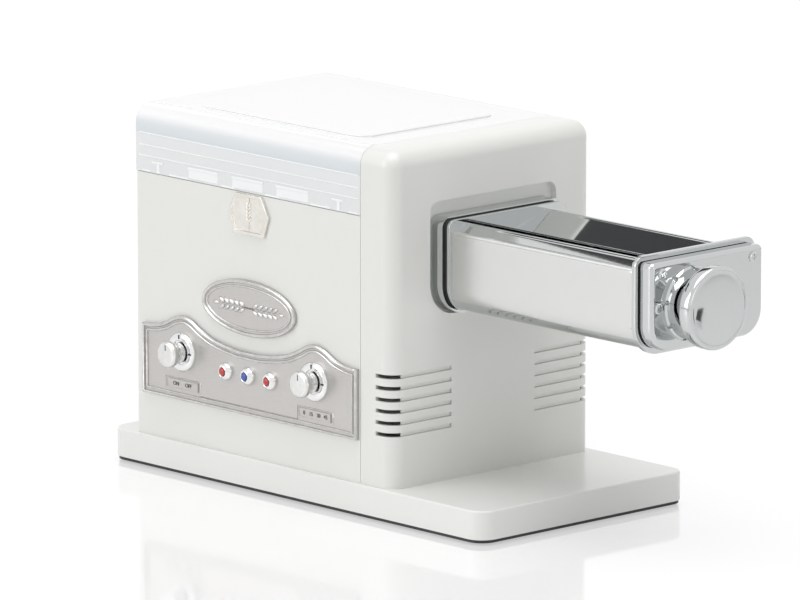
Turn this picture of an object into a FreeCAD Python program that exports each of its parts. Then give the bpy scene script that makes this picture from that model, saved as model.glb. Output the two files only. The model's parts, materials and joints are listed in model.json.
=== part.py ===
import FreeCAD, Part
import math
import os
import re
from types import SimpleNamespace

import Sketcher
from FreeCAD import Placement, Rotation, Vector

# Electric pasta maker: a boxed dough mixer on a board, with a sheet roller plugged into its right side.
# X runs to the right, Y to the back, Z up; the origin is the centre of the board's footprint.

doc = FreeCAD.newDocument("pasta_maker")

# Driving dimensions in millimetres and degrees
SIZES = {
    # board
    "base_length": 319, "board_ledge": 2.5, "base_radius": 11, "slab_thickness": 16.9, "slab_edge": 1.2,
    "underside_gap": 1.2, "tray_thickness": 1.9, "tray_inset": 0.8, "foot_radius": 8, "foot_inset": 24,
    "fit_gap": 0.3, "run_gap": 0.05,
    # housing
    "right_overhang": 77, "housing_length": 220.5, "housing_depth": 160, "housing_height": 196.5,
    "wall": 2.5, "corner_radius": 10, "cap_width": 26.5, "frame_thickness": 3,
    "boss_radius": 5, "boss_height": 14, "screw_radius": 1.8, "screw_head": 3.6, "screw_head_height": 2,
    # lid
    "lid_drop": 39.5, "lid_wall": 2.5, "barrel_wrap": 40, "lid_panel_margin": 20, "lid_panel_rise": 1,
    "comb_depth": 3, "comb_height": 2, "comb_rise": 6.3, "comb_lift": 0.4, "clip_width": 10, "hinge_pin_radius": 2.5,
    "ear_radius": 5.5, "ear_root": 24,
    # attachment recess and vents
    "recess_width": 100, "recess_height": 67, "recess_low": 117.5, "recess_depth": 4, "recess_radius": 6,
    "recess_low_radius": 19,
    "vent_count": 6, "vent_pitch": 6.8, "vent_height": 2.4, "vent_low": 50.4, "vent_wrap": 14, "vent_run": 48,
    # drive line
    "drive_offset": 15.8, "drive_height": 127, "tub_radius": 50, "tub_wall": 2, "tub_rim_height": 154,
    "tub_rim_overlap": 4, "shaft_radius": 6, "arm_reach": 45, "arm_radius": 4, "bush_wall": 2.5,
    "final_teeth": 52, "final_module": 1.5, "idler_small_teeth": 14, "idler_large_teeth": 60,
    "motor_module": 1, "pinion_teeth": 12, "idler_angle": -67, "motor_angle": -100.2,
    "final_width": 8, "first_width": 5, "gear_gap": 1.5, "pressure_angle": 20, "backlash": 0.12,
    "socket_radius": 11, "hex_across": 12, "hex_depth": 6, "idler_pin_radius": 4,
    "motor_radius": 27, "motor_length": 92, "motor_shaft_radius": 3, "motor_wall": 2, "armature_radius": 15,
    "fan_radius": 25, "fan_width": 9, "fan_blades": 9,
    # front controls
    "panel_left": 7, "panel_right": 1, "panel_low": 25, "panel_end_height": 42.3,
    "panel_crest_height": 51.2, "panel_dip_height": 38.4, "panel_thickness": 1.6, "panel_rim": 4.2,
    "panel_rim_rise": 1, "knob_spread": 57.3, "knob_height": 54.6, "dial_radius": 11.8, "dial_thickness": 3.4,
    "knob_radius": 7.8, "knob_neck": 6.4, "knob_length": 10.4, "spindle_radius": 3, "switch_size": 22,
    "switch_depth": 12, "button_pitch": 19.1, "button_height": 48.9, "bezel_radius": 5.6, "bezel_rise": 4,
    "button_radius": 2.5, "button_flange": 3.6, "button_travel": 1.5, "label_width": 27.5, "label_height": 5.6,
    "label_drop": 19.8, "label_rise": 0.5,
    "plaque_width": 80.5, "plaque_height": 33.6, "plaque_centre": 89, "plaque_thickness": 2.2, "plaque_rim": 3,
    "badge_width": 34.6, "badge_top_width": 22, "badge_low_width": 26, "badge_height": 24,
    "badge_low": 132.3, "badge_thickness": 2,
    # rear
    "inlet_width": 27, "inlet_height": 19, "inlet_depth": 16, "inlet_centre": -60, "inlet_lift": 25,
    "board_gap": 1.3, "board_height": 46, "board_thickness": 1.6,
    # sheet roller
    "head_width": 94.5, "head_height": 57.5, "head_low": 98.5, "head_low_radius": 18, "head_top_radius": 6,
    "flange_proud": 7, "flange_wall": 2, "seal_thickness": 2.5, "seal_inset": 2, "end_plate": 2,
    "plate_inset": 1.2, "roller_length": 150, "roller_side_gap": 0.25, "roller_radius": 13.5,
    "journal_radius": 8, "roller_bore": 5.4, "gap_wide": 4.8, "gap_narrow": 0.6,
    "roller_teeth": 10, "roller_tooth_thickness": 3.4, "roller_tip_radius": 16.48, "roller_root_radius": 10.77,
    "roller_gear_width": 6, "block_size": 28, "block_thickness": 4.3, "block_window": 11.9, "nose_width": 1.5,
    "rod_radius": 3, "cam_low": 5, "cam_thickness": 1.6, "regulator_range": 288, "regulator_steps": 9,
    "rim_thickness": 3, "end_seal": 1.1, "cover_depth": 8.9, "cover_inset": 3, "cover_wall": 1.5,
    "cover_edge": 2.6, "end_screw_head": 3.1, "end_screw_rise": 1.2, "end_screw_drop": 9.3,
    "end_screw_spread": 36, "sheet": 1.2, "side_inset": 3.1, "side_low_radius": 12, "exit_half": 20,
    "hopper_half": 7, "hopper_low": 143.5, "hopper_top": 151, "crest_half": 29, "crest_width": 6,
    "crest_rise": 0.9, "shoulder": 149, "shoulder_radius": 1.6, "panel_edge": 2, "panel_stamp": 0.5,
    "panel_corner": 3, "tie_radius": 3, "tie_offset": 37.5,
    "regulator_ring": 21.5, "ring_thickness": 2.7, "knob_gap": 0.7, "regulator_radius": 23.9,
    "regulator_length": 22.8, "regulator_neck": 14, "regulator_skirt": 19.5, "pull_travel": 4,
}

# Raised bars inside the lid's front, as X spans from the lid's left end, and its catches
HIGH_BARS = [(46, 72), (84, 111), (122, 150)]
LOW_BARS = [(6, 13), (29.5, 46), (74.5, 86.5), (113, 125), (152, 169), (184, 190)]
CATCHES = (20, 175.5)

# Places worked out from those dimensions
PLACES = {
    "base_depth": "housing_depth + 2 * board_ledge",
    "slab_low": "underside_gap + tray_thickness",
    "deck": "slab_low + slab_thickness",
    "right_face": "base_length / 2 - right_overhang",
    "left_face": "right_face - housing_length",
    "back_face": "housing_depth / 2",
    "front_face": "-back_face",
    "top_face": "deck + housing_height",
    "seam": "right_face - cap_width",
    "split": "top_face - lid_drop",
    "frame_right": "seam + frame_thickness",
    "hinge_y": "back_face - corner_radius",
    "hinge_z": "top_face - corner_radius",
    "drive_y": "drive_offset",
    "drive_z": "deck + drive_height",
    "recess_floor": "right_face - recess_depth",
    "recess_back": "recess_floor - wall",
    "final_left": "frame_right + fit_gap + 1.7",
    "final_right": "final_left + final_width",
    "first_left": "final_right + gear_gap",
    "first_right": "first_left + first_width",
    "final_centres": "final_module * (final_teeth + idler_small_teeth) / 2",
    "first_centres": "motor_module * (idler_large_teeth + pinion_teeth) / 2",
    "idler_y": "drive_y + final_centres * cos(idler_angle)",
    "idler_z": "drive_z + final_centres * sin(idler_angle)",
    "motor_y": "idler_y + first_centres * cos(motor_angle)",
    "motor_z": "idler_z + first_centres * sin(motor_angle)",
    "tub_left": "left_face + 2 * wall + 0.7",
    "tub_rim": "deck + tub_rim_height",
    "panel_width": "housing_length - cap_width - panel_left - panel_right",
    "panel_x": "left_face + panel_left + panel_width / 2",
    "panel_face": "front_face - panel_thickness",
    "panel_z": "deck + panel_low",
    "board_width": "2 * knob_spread - switch_size - 2 * board_gap",
    "knob_z": "deck + knob_height",
    "button_z": "deck + button_height",
    "casing_inside": "front_face + wall",
    "head_z": "deck + head_low",
    "head_top": "head_z + head_height",
    "flange_left": "recess_floor + fit_gap",
    "rod_left": "flange_left + rod_radius",
    "cavity_left": "flange_left + flange_wall",
    "flange_right": "right_face + flange_proud",
    "plate_left": "flange_right + seal_thickness",
    "plate_right": "plate_left + end_plate",
    "rim_left": "plate_right + roller_length + 2 * roller_side_gap",
    "rim_right": "rim_left + rim_thickness",
    "cover_left": "rim_right + end_seal",
    "cover_right": "cover_left + cover_depth",
    "front_roller_y": "drive_y - 2 * roller_radius - gap_wide",
    "gap_travel": "gap_wide - gap_narrow",
    "panel_top": "hinge_z - corner_radius * sin(barrel_wrap) - 0.7",
    "rod_y": "front_roller_y + gap_travel / 2",
    "block_left": "cavity_left + 0.2",
    "gear_left": "block_left + block_thickness + 0.2",
    "gear_right": "gear_left + roller_gear_width",
    "right_block_left": "rim_right + end_seal + 0.4",
    "side_face": "head_width / 2 - side_inset",
    "ring_right": "cover_right + ring_thickness",
    "knob_left": "cover_right + knob_gap",
    "knob_right": "knob_left + regulator_length",
}
NAMES = set(SIZES) | set(PLACES)


def make_sheet():
    """Write the driving dimensions to a spreadsheet and bind the places to them."""
    sheet = doc.addObject("Spreadsheet::Sheet", "Sizes")
    for row, (name, value) in enumerate(SIZES.items(), 1):
        sheet.set(f"A{row}", name)
        sheet.set(f"B{row}", str(value))
        sheet.setAlias(f"B{row}", name)
    doc.recompute()
    places = doc.addObject("App::FeaturePython", "Places")
    for name, formula in PLACES.items():
        places.addProperty("App::PropertyFloat", name)
        places.setExpression(name, linked(formula))
    doc.recompute()
    values = {name: float(sheet.get(name)) for name in SIZES}
    values.update({name: getattr(places, name) for name in PLACES})
    return SimpleNamespace(**values)


def linked(formula):
    """Point each name in a formula at the sheet's cell or at the place of that name."""
    def owner(match):
        name = match.group()
        if name in SIZES:
            return "Sizes." + name
        return "Places." + name if name in PLACES else name
    return re.sub(r"[a-z][a-z_0-9]*", owner, formula)


s = make_sheet()
SUBPARTS = []


def bind(item, **formulas):
    """Drive properties of an item by formulas; x, y and z stand for its place."""
    for key, formula in formulas.items():
        prop = "Placement.Base." + key if key in ("x", "y", "z") else key
        item.setExpression(prop, linked(str(formula)))
    return item


def keep(item, label):
    """Name an object as a sub-part of the product."""
    item.Label = label
    SUBPARTS.append(item)
    return item


TURNS = {"X": Rotation(Vector(0, 1, 0), 90), "Y": Rotation(Vector(1, 0, 0), -90), "Z": Rotation()}


def box(name, x, y, z, length, depth, height):
    """Box from its low corner."""
    item = doc.addObject("Part::Box", name)
    return bind(item, x=x, y=y, z=z, Length=length, Width=depth, Height=height)


def rod(name, axis, x, y, z, radius, length):
    """Cylinder along an axis from the centre of its low end."""
    item = doc.addObject("Part::Cylinder", name)
    item.Placement = Placement(Vector(), TURNS[axis])
    return bind(item, x=x, y=y, z=z, Radius=radius, Height=length)


def cut(name, base, *tools):
    """Base less the tools."""
    item = doc.addObject("Part::Cut", name)
    item.Base = base
    item.Tool = tools[0] if len(tools) == 1 else fuse(name + "_tools", *tools)
    return item


def fuse(name, *shapes):
    """Several shapes as one."""
    item = doc.addObject("Part::MultiFuse", name)
    item.Shapes = list(shapes)
    return item


def group(name, *shapes):
    """Alike pieces kept as separate solids."""
    item = doc.addObject("Part::Compound", name)
    item.Links = list(shapes)
    return item


def rounded(name, base, radius, pick):
    """Base with a fillet on the edges that pick chooses."""
    doc.recompute()
    item = doc.addObject("Part::Fillet", name)
    item.Base = base
    item.Edges = [(i, radius, radius) for i, edge in enumerate(base.Shape.Edges, 1) if pick(edge)]
    return item


def solid(name, shape, x=0.0, y=0.0, z=0.0):
    """Shape made by functions, set down at a place."""
    item = doc.addObject("Part::Feature", name)
    item.Shape = shape
    item.Placement = Placement(Vector(x, y, z), Rotation())
    return item


def along(edge, axis):
    """Whether an edge is straight and runs along an axis."""
    if edge.Curve.TypeId != "Part::GeomLine":
        return False
    return abs(abs(edge.Curve.Direction.dot(axis)) - 1) < 1e-6


def near(value, place):
    """Whether a coordinate lies at a place."""
    return abs(value - place) < 0.01


# PartDesign helpers

AXES = {"X": Vector(1, 0, 0), "Y": Vector(0, 1, 0), "Z": Vector(0, 0, 1)}


def new_body(label, x=0, y=0, z=0):
    """Body placed by formulas."""
    return bind(doc.addObject("PartDesign::Body", label), x=x, y=y, z=z)


def new_sketch(body, role, lift=0):
    """Sketch on one of the body's own origin planes, lifted off it by a formula."""
    sketch = body.newObject("Sketcher::SketchObject", "outline")
    plane = next(item for item in body.Origin.OriginFeatures if item.Role == role)
    sketch.AttachmentSupport = (plane, [""])
    sketch.MapMode = "FlatFace"
    sketch.setExpression("AttachmentOffset.Base.z", linked(str(lift)))
    return sketch


def hold(sketch, kind, index, point, value, formula):
    """Dimension one point of a sketch from its origin by a formula."""
    place = sketch.addConstraint(Sketcher.Constraint(kind, index, point, value))
    sketch.setExpression(f"Constraints[{place}]", linked(str(formula)))


def draw_polygon(sketch, corners):
    """Closed outline whose corners are pairs of formulas."""
    count = len(corners)
    first = sketch.GeometryCount
    starts = [Vector(10 * math.cos(math.tau * i / count), 10 * math.sin(math.tau * i / count), 0)
              for i in range(count)]
    for i in range(count):
        sketch.addGeometry(Part.LineSegment(starts[i], starts[(i + 1) % count]), False)
    for i, (across, up) in enumerate(corners):
        following = first + (i + 1) % count
        sketch.addConstraint(Sketcher.Constraint("Coincident", first + i, 2, following, 1))
        hold(sketch, "DistanceX", first + i, 1, starts[i].x, across)
        hold(sketch, "DistanceY", first + i, 1, starts[i].y, up)


def draw_circle(sketch, across, up, radius):
    """Circle whose centre and radius are formulas."""
    index = sketch.addGeometry(Part.Circle(Vector(1, 1, 0), Vector(0, 0, 1), 1), False)
    hold(sketch, "DistanceX", index, 3, 1, across)
    hold(sketch, "DistanceY", index, 3, 1, up)
    place = sketch.addConstraint(Sketcher.Constraint("Radius", index, 1))
    sketch.setExpression(f"Constraints[{place}]", linked(str(radius)))


def pad(body, sketch, length, reverse=False):
    """Extrude a sketch."""
    item = body.newObject("PartDesign::Pad", "pad")
    item.Profile = sketch
    item.Reversed = reverse
    return bind(item, Length=length)


def bore(body, sketch, length=None, reverse=False):
    """Cut a sketch through the body, or to a depth."""
    item = body.newObject("PartDesign::Pocket", "pocket")
    item.Profile = sketch
    if length is None:
        item.Type = "ThroughAll"
        item.SideType = "Symmetric"
        return item
    item.Reversed = reverse
    return bind(item, Length=length)


def soften(body, radius, pick):
    """Fillet the edges of the body's last feature that pick chooses."""
    doc.recompute()
    base = body.Tip
    names = [f"Edge{i}" for i, edge in enumerate(base.Shape.Edges, 1) if pick(edge)]
    item = body.newObject("PartDesign::Fillet", "fillet")
    item.Base = (base, names)
    return bind(item, Radius=radius)


def turned(label, axis, profile, x=0, y=0, z=0):
    """Body of revolution about X or Y whose profile is (along, radius) formulas."""
    body = new_body(label, x, y, z)
    sketch = new_sketch(body, "XY_Plane")
    corners = profile if axis == "X" else [(radius, place) for place, radius in profile]
    draw_polygon(sketch, corners)
    item = body.newObject("PartDesign::Revolution", "turn")
    item.Profile = sketch
    item.ReferenceAxis = (sketch, ["H_Axis" if axis == "X" else "V_Axis"])
    item.Angle = 360
    return body


def rounded_slab(label, x, z, length, depth, thickness, radius):
    """Board with rounded plan corners, centred on the Z axis."""
    body = new_body(label, x, 0, z)
    sketch = new_sketch(body, "XY_Plane")
    half_l, half_d = f"({length}) / 2", f"({depth}) / 2"
    draw_polygon(sketch, [(f"-{half_l}", f"-{half_d}"), (half_l, f"-{half_d}"), (half_l, half_d),
                          (f"-{half_l}", half_d)])
    pad(body, sketch, thickness)
    soften(body, radius, lambda edge: along(edge, AXES["Z"]))
    return body


# Board

FEET = [(i, j) for i in (-1, 1) for j in (-1, 1)] + [(0, 0)]


def foot_place(i, j):
    """Centre of one foot as two formulas."""
    return f"{i} * (base_length / 2 - foot_inset)", f"{j} * (base_depth / 2 - foot_inset)"


CASING_SCREWS = [("left_face + wall + boss_radius", "front_face + wall + boss_radius"),
                 ("left_face + wall + boss_radius", "back_face - wall - boss_radius"),
                 ("seam - boss_radius - 4", "front_face + wall + boss_radius"),
                 ("seam - boss_radius - 4", "back_face - wall - boss_radius"),
                 ("right_face - wall - boss_radius - 3", "front_face + wall + boss_radius + 3"),
                 ("right_face - wall - boss_radius - 3", "back_face - wall - boss_radius - 3")]


def make_base():
    """White board, dark tray under it, feet and the screws that hold the housing down."""
    slab = rounded_slab("slab_body", 0, "slab_low", "base_length", "base_depth", "slab_thickness",
                        "base_radius")
    soften(slab, "slab_edge", lambda edge: near(edge.BoundBox.ZMin, s.slab_thickness))
    sketch = new_sketch(slab, "XY_Plane")
    for x, y in CASING_SCREWS:
        draw_circle(sketch, x, y, "screw_radius + fit_gap")
    bore(slab, sketch)
    heads = new_sketch(slab, "XY_Plane")
    for x, y in CASING_SCREWS:
        draw_circle(heads, x, y, "screw_head + fit_gap")
    bore(slab, heads, "screw_head_height + fit_gap", reverse=True)
    keep(slab, "base_slab")
    tray = rounded_slab("tray_body", 0, "underside_gap", "base_length - 2 * tray_inset",
                        "base_depth - 2 * tray_inset", "tray_thickness", "base_radius - tray_inset")
    holes = new_sketch(tray, "XY_Plane")
    for i, j in FEET:
        draw_circle(holes, *foot_place(i, j), "foot_radius + fit_gap")
    bore(tray, holes)
    keep(tray, "base_tray")
    feet = [rod(f"foot_{i}_{j}", "Z", *foot_place(i, j), 0, "foot_radius", "slab_low") for i, j in FEET]
    keep(group("feet", *feet), "rubber_feet")
    screws = []
    for k, (x, y) in enumerate(CASING_SCREWS):
        head = rod(f"casing_head_{k}", "Z", x, y, "slab_low + fit_gap", "screw_head", "screw_head_height")
        shank = rod(f"casing_shank_{k}", "Z", x, y, "slab_low + fit_gap", "screw_radius",
                    "slab_thickness + boss_height * 0.7")
        screws.append(fuse(f"casing_screw_{k}", head, shank))
    keep(group("casing_screw_set", *screws), "casing_screws")


def bosses(name, places):
    """Screw bosses that stand on the board inside the housing."""
    posts = []
    for k, (x, y) in enumerate(places):
        post = rod(f"{name}_post_{k}", "Z", x, y, "deck", "boss_radius", "boss_height")
        hole = rod(f"{name}_hole_{k}", "Z", x, y, "deck", "screw_radius", "boss_height - 2")
        posts.append((post, hole))
    return [post for post, _ in posts], [hole for _, hole in posts]


# Housing

def soft_box(name, x, y, z, length, depth, height, radius, pick):
    """Box with chosen edges rounded."""
    return rounded(name, box(name + "_block", x, y, z, length, depth, height), radius, pick)


def outer_edges(inset, right, low=None):
    """Edge test for the cap's rounded outer edges at an inset from the housing's faces."""
    def pick(edge):
        bounds = edge.BoundBox
        if near(bounds.ZMin, low) and near(bounds.ZMax, low):
            return False
        at_right = near(bounds.XMin, right) and near(bounds.XMax, right)
        top = near(bounds.ZMin, s.top_face - inset) and near(bounds.ZMax, s.top_face - inset)
        return at_right or (top and along(edge, AXES["X"]))
    return pick


def make_right_casing():
    """Deep rounded cap with the attachment recess and two groups of wrap-round vents."""
    outer = soft_box("cap_outer", "seam", "front_face", "deck", "cap_width", "housing_depth",
                     "housing_height", s.corner_radius, outer_edges(0, s.right_face, s.deck))
    inner = soft_box("cap_inner", "seam", "front_face + wall", "deck", "cap_width - wall",
                     "housing_depth - 2 * wall", "housing_height - wall", s.corner_radius - s.wall,
                     outer_edges(s.wall, s.right_face - s.wall, s.deck))
    recess_y = "-recess_width / 2"
    backing = box("recess_backing", "recess_back", recess_y + " - wall", "recess_low - wall",
                  "right_face - recess_back", "recess_width + 2 * wall", "recess_height + 2 * wall")
    low_corner = lambda edge: along(edge, AXES["X"]) and near(edge.BoundBox.ZMin, s.recess_low)
    top_corner = lambda edge: along(edge, AXES["X"]) and near(edge.BoundBox.ZMin, s.recess_low + s.recess_height)
    recess = rounded("recess_round", soft_box("recess_cut", "recess_floor", recess_y, "recess_low",
                                              "recess_depth + 1", "recess_width", "recess_height",
                                              s.recess_low_radius, low_corner), s.recess_radius, top_corner)
    socket = rod("socket_hole", "X", "recess_back - 1", "drive_y", "drive_z",
                 "socket_radius + run_gap + bush_wall", "wall + 2")
    pins = [rod(f"pin_hole_{k}", "X", "recess_back - 1", f"{k} * head_width / 3", "head_z + 10",
                "tie_radius + fit_gap", "wall + 2") for k in (-1, 1)]
    vents = []
    for k in range(int(s.vent_count)):
        z = f"vent_low + {k} * vent_pitch"
        for side, y in (("front", "front_face - 1"), ("rear", "back_face - vent_run + 1")):
            vents.append(box(f"vent_{side}_{k}", "right_face - vent_wrap", y, z, "vent_wrap + 1", "vent_run",
                             "vent_height"))
    core = box("vent_core", "seam", "front_face + wall + 6", "deck", "cap_width - wall - 6",
               "housing_depth - 2 * wall - 12", "housing_height / 2")
    slots = cut("vent_slots", fuse("vent_blocks", *vents), core)
    posts, holes = bosses("cap", CASING_SCREWS[4:])
    webs = [box(f"cap_web_{k}", "right_face - wall - boss_radius - 4", y, "deck", 2, "boss_radius + 3", "boss_height")
            for k, y in enumerate(("front_face + wall / 2", "back_face - wall / 2 - boss_radius - 3"))]
    shell = cut("cap_shell", outer, inner)
    keep(cut("right_casing", fuse("cap_solid", shell, backing, *posts, *webs), recess, socket, *pins, slots, *holes),
         "right_end_casing")


def make_panels():
    """Front, rear and left casings."""
    span = "seam - left_face - fit_gap"
    inner_corner = lambda edge: along(edge, AXES["Z"]) and near(edge.BoundBox.XMin, s.left_face)
    front = soft_box("front_sheet", "left_face", "front_face", "deck", span, "wall", "split - deck - fit_gap",
                     s.wall * 0.8, lambda e: inner_corner(e) and near(e.BoundBox.YMin, s.front_face))
    holes = [rod(f"spindle_hole_{k}", "Y", f"panel_x + {k} * knob_spread", "front_face - 1", "knob_z",
                 "spindle_radius + fit_gap", "wall + 2") for k in (-1, 1)]
    holes += [rod(f"button_hole_{k}", "Y", f"panel_x + {k} * button_pitch", "front_face - 1", "button_z",
                  "button_radius + run_gap", "wall + 2") for k in (-1, 0, 1)]
    places = [CASING_SCREWS[0], CASING_SCREWS[2]]
    posts, screw_holes = bosses("front", places)
    webs = [box(f"front_web_{k}", f"{x} - 1", "front_face + wall", "deck", 2, "boss_radius", "boss_height")
            for k, (x, _) in enumerate(places)]
    keep(cut("front_cut", fuse("front_solid", front, *posts, *webs), *holes, *screw_holes), "front_casing")
    rear = soft_box("rear_sheet", "left_face", "back_face - wall", "deck", span, "wall",
                    "panel_top - deck", s.wall * 0.8,
                    lambda e: inner_corner(e) and near(e.BoundBox.YMin, s.back_face))
    inlet = box("inlet_hole", "inlet_centre - inlet_width / 2", "back_face - wall - 1",
                "deck + inlet_lift - inlet_height / 2", "inlet_width", "wall + 2", "inlet_height")
    places = [CASING_SCREWS[1], CASING_SCREWS[3]]
    posts, screw_holes = bosses("rear", places)
    webs = [box(f"rear_web_{k}", f"{x} - 1", "back_face - wall - boss_radius", "deck", 2, "boss_radius",
                "boss_height") for k, (x, _) in enumerate(places)]
    keep(cut("rear_cut", fuse("rear_solid", rear, *posts, *webs), inlet, *screw_holes), "rear_casing")
    left = box("left_sheet", "left_face", "casing_inside + fit_gap / 3", "deck", "wall",
               "housing_depth - 2 * wall - 2 * fit_gap / 3", "split - deck - fit_gap")
    riser = box("left_riser", "left_face", "hinge_y - corner_radius + 0.4", "split - ear_root", "wall",
                "back_face - wall - fit_gap / 3 - hinge_y + corner_radius - 0.4", "panel_top - split + ear_root")
    clearance = rod("riser_clearance", "X", "left_face - 1", "hinge_y", "hinge_z", "corner_radius + 0.4",
                    "wall + 1")
    root = box("ear_root_block", "left_face + wall", "hinge_y - ear_radius", "split - ear_root", "wall",
               "2 * ear_radius", "ear_root - 1")
    ear = box("ear_block", "left_face + wall + fit_gap", "hinge_y - ear_radius", "split - ear_root",
              "wall", "2 * ear_radius", "hinge_z - split + ear_root")
    ear_end = rod("ear_end", "X", "left_face + wall + fit_gap", "hinge_y", "hinge_z", "ear_radius", "wall")
    ear_hole = rod("ear_hole", "X", "left_face + wall", "hinge_y", "hinge_z", "hinge_pin_radius", "wall + 1")
    side = cut("left_side", fuse("left_outer", left, riser), clearance)
    keep(cut("left_cut", fuse("left_solid", side, root, ear, ear_end), ear_hole), "left_end_casing")
    frame = box("frame_plate", "seam", "casing_inside + fit_gap", "deck", "frame_thickness",
                "housing_depth - 2 * wall - 2 * fit_gap", "housing_height - wall - fit_gap")
    corner = lambda e: along(e, AXES["X"]) and near(e.BoundBox.ZMin, s.top_face - s.wall - s.fit_gap)
    plate = rounded("frame_round", frame, s.corner_radius - s.wall, corner)
    bores = [rod("frame_drive_bore", "X", "seam - 1", "drive_y", "drive_z",
                 "shaft_radius + run_gap + bush_wall", "frame_thickness + 2"),
             rod("frame_motor_bore", "X", "seam - 1", "motor_y", "motor_z", "motor_shaft_radius + 3",
                 "frame_thickness + 2")]
    keep(cut("frame_cut", plate, *bores), "inner_frame")
    pins = [rod("right_pin", "X", "seam - 6", "hinge_y", "hinge_z", "hinge_pin_radius", 6),
            rod("left_pin", "X", "left_face + 0.4", "hinge_y", "hinge_z", "hinge_pin_radius",
                "wall * 2 + fit_gap - 0.4")]
    keep(group("pin_pair", *pins), "hinge_pins")


def lid_section(inset):
    """Lid's profile in the YZ plane at an inset from its outer skin, closed behind the hinge."""
    radius = s.corner_radius - inset
    front, top = s.front_face + inset, s.top_face - inset
    low = s.split
    wrap = math.radians(-s.barrel_wrap)
    centre_front = Vector(0, s.front_face + s.corner_radius, s.hinge_z)
    hinge = Vector(0, s.hinge_y, s.hinge_z)
    slant = math.sqrt(0.5) * radius
    end = hinge + Vector(0, radius * math.cos(wrap), radius * math.sin(wrap))
    foot = Vector(0, s.hinge_y - s.corner_radius, low)
    points = [Vector(0, front, low), Vector(0, front, s.hinge_z)]
    edges = [Part.LineSegment(points[0], points[1]).toShape(),
             Part.Arc(points[1], centre_front + Vector(0, -slant, slant),
                      Vector(0, front + radius, top)).toShape(),
             Part.LineSegment(Vector(0, front + radius, top), Vector(0, s.hinge_y, top)).toShape(),
             Part.Arc(Vector(0, s.hinge_y, top), hinge + Vector(0, slant, slant), end).toShape(),
             Part.LineSegment(end, Vector(0, foot.y, end.z)).toShape(),
             Part.LineSegment(Vector(0, foot.y, end.z), foot).toShape(),
             Part.LineSegment(foot, points[0]).toShape()]
    return Part.Face(Part.Wire(edges))


def make_lid():
    """Clear hood with end walls, castellated front rib, catches, hinge barrel."""
    length = s.seam - s.fit_gap - s.left_face
    outer = lid_section(0).extrude(Vector(length, 0, 0))
    inner = lid_section(s.lid_wall).extrude(Vector(length - 2 * s.lid_wall, 0, 0))
    inner.translate(Vector(s.lid_wall, 0, 0))
    drop = Part.makeBox(length - 2 * s.lid_wall, s.housing_depth - 2 * s.corner_radius, s.lid_drop,
                        Vector(s.lid_wall, s.front_face + s.lid_wall, s.split - s.lid_drop))
    shelf = Part.makeBox(length - 2 * s.lid_wall, s.corner_radius, s.corner_radius,
                         Vector(s.lid_wall, s.hinge_y - s.corner_radius - 1, s.hinge_z - s.corner_radius))
    notch = Part.makeBox(s.wall + 2 * s.fit_gap, s.corner_radius, 1.8 * s.corner_radius,
                         Vector(s.lid_wall, s.hinge_y + 3, s.hinge_z - s.corner_radius))
    core = Part.makeCylinder(s.corner_radius - s.lid_wall, length - 2 * s.lid_wall,
                             Vector(s.lid_wall, s.hinge_y, s.hinge_z), Vector(1, 0, 0))
    skin = outer.cut(inner.fuse([drop, shelf, notch, core]))
    raised = Part.makeBox(length - 2 * s.lid_panel_margin - 10, s.housing_depth - 2.6 * s.lid_panel_margin,
                          s.lid_panel_rise, Vector(s.lid_panel_margin + 10, s.front_face + s.lid_panel_margin,
                                                   s.top_face))
    corners = [edge for edge in raised.Edges if along(edge, AXES["Z"])]
    raised = raised.makeFillet(s.corner_radius, corners)
    def rib(low, high, rise):
        """Bar inside the front wall between two X places, at a rise above the lid's foot."""
        return Part.makeBox(high - low, s.comb_depth, s.comb_height,
                            Vector(low, s.front_face + s.lid_wall, s.split + rise))

    ribs = [rib(low, high, s.comb_rise) for low, high in HIGH_BARS]
    ribs += [rib(low, high, s.comb_lift) for low, high in LOW_BARS]
    ribs += [rib(x - s.clip_width / 2, x + s.clip_width / 2, s.comb_rise - 1) for x in CATCHES]
    holes = [Part.makeCylinder(s.hinge_pin_radius + s.run_gap, s.lid_wall + 2,
                               Vector(x - 1, s.hinge_y, s.hinge_z), Vector(1, 0, 0))
             for x in (0, length - s.lid_wall)]
    shell = skin.fuse([raised] + ribs).cut(holes)
    keep(solid("lid_shell", shell.removeSplitter(), s.left_face), "clear_lid")


# Mixing tub and drive

def make_tub():
    """Trough with a round floor round the kneader's axis and a rim that fills the housing's mouth."""
    length = s.seam - s.tub_left
    outer_r, inner_r = s.tub_radius + s.tub_wall, s.tub_radius
    height = s.tub_rim - s.drive_z

    def trough(radius, x, run, extra):
        wide = Part.makeBox(run, 2 * radius, height + extra, Vector(x, s.drive_y - radius, s.drive_z))
        tube = Part.makeCylinder(radius, run, Vector(x, s.drive_y, s.drive_z), Vector(1, 0, 0))
        lower = Part.makeBox(run, 2 * radius, radius, Vector(x, s.drive_y - radius, s.drive_z - radius))
        return wide.fuse(tube.common(lower))

    inner = trough(inner_r, s.tub_wall, length - 2 * s.tub_wall, 5)
    rim = Part.makeBox(length, s.housing_depth - 2 * s.wall - 2 * s.fit_gap, s.tub_wall,
                       Vector(0, s.casing_inside + s.fit_gap, s.tub_rim - s.tub_wall))
    bores = [Part.makeCylinder(s.shaft_radius + s.run_gap + s.bush_wall, s.tub_wall + 2,
                               Vector(x - 1, s.drive_y, s.drive_z), Vector(1, 0, 0))
             for x in (0, length - s.tub_wall)]
    shape = trough(outer_r, 0, length, 0).fuse(rim).cut([inner] + bores)
    keep(solid("tub_shape", shape.removeSplitter(), s.tub_left), "mixing_tub")


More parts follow.
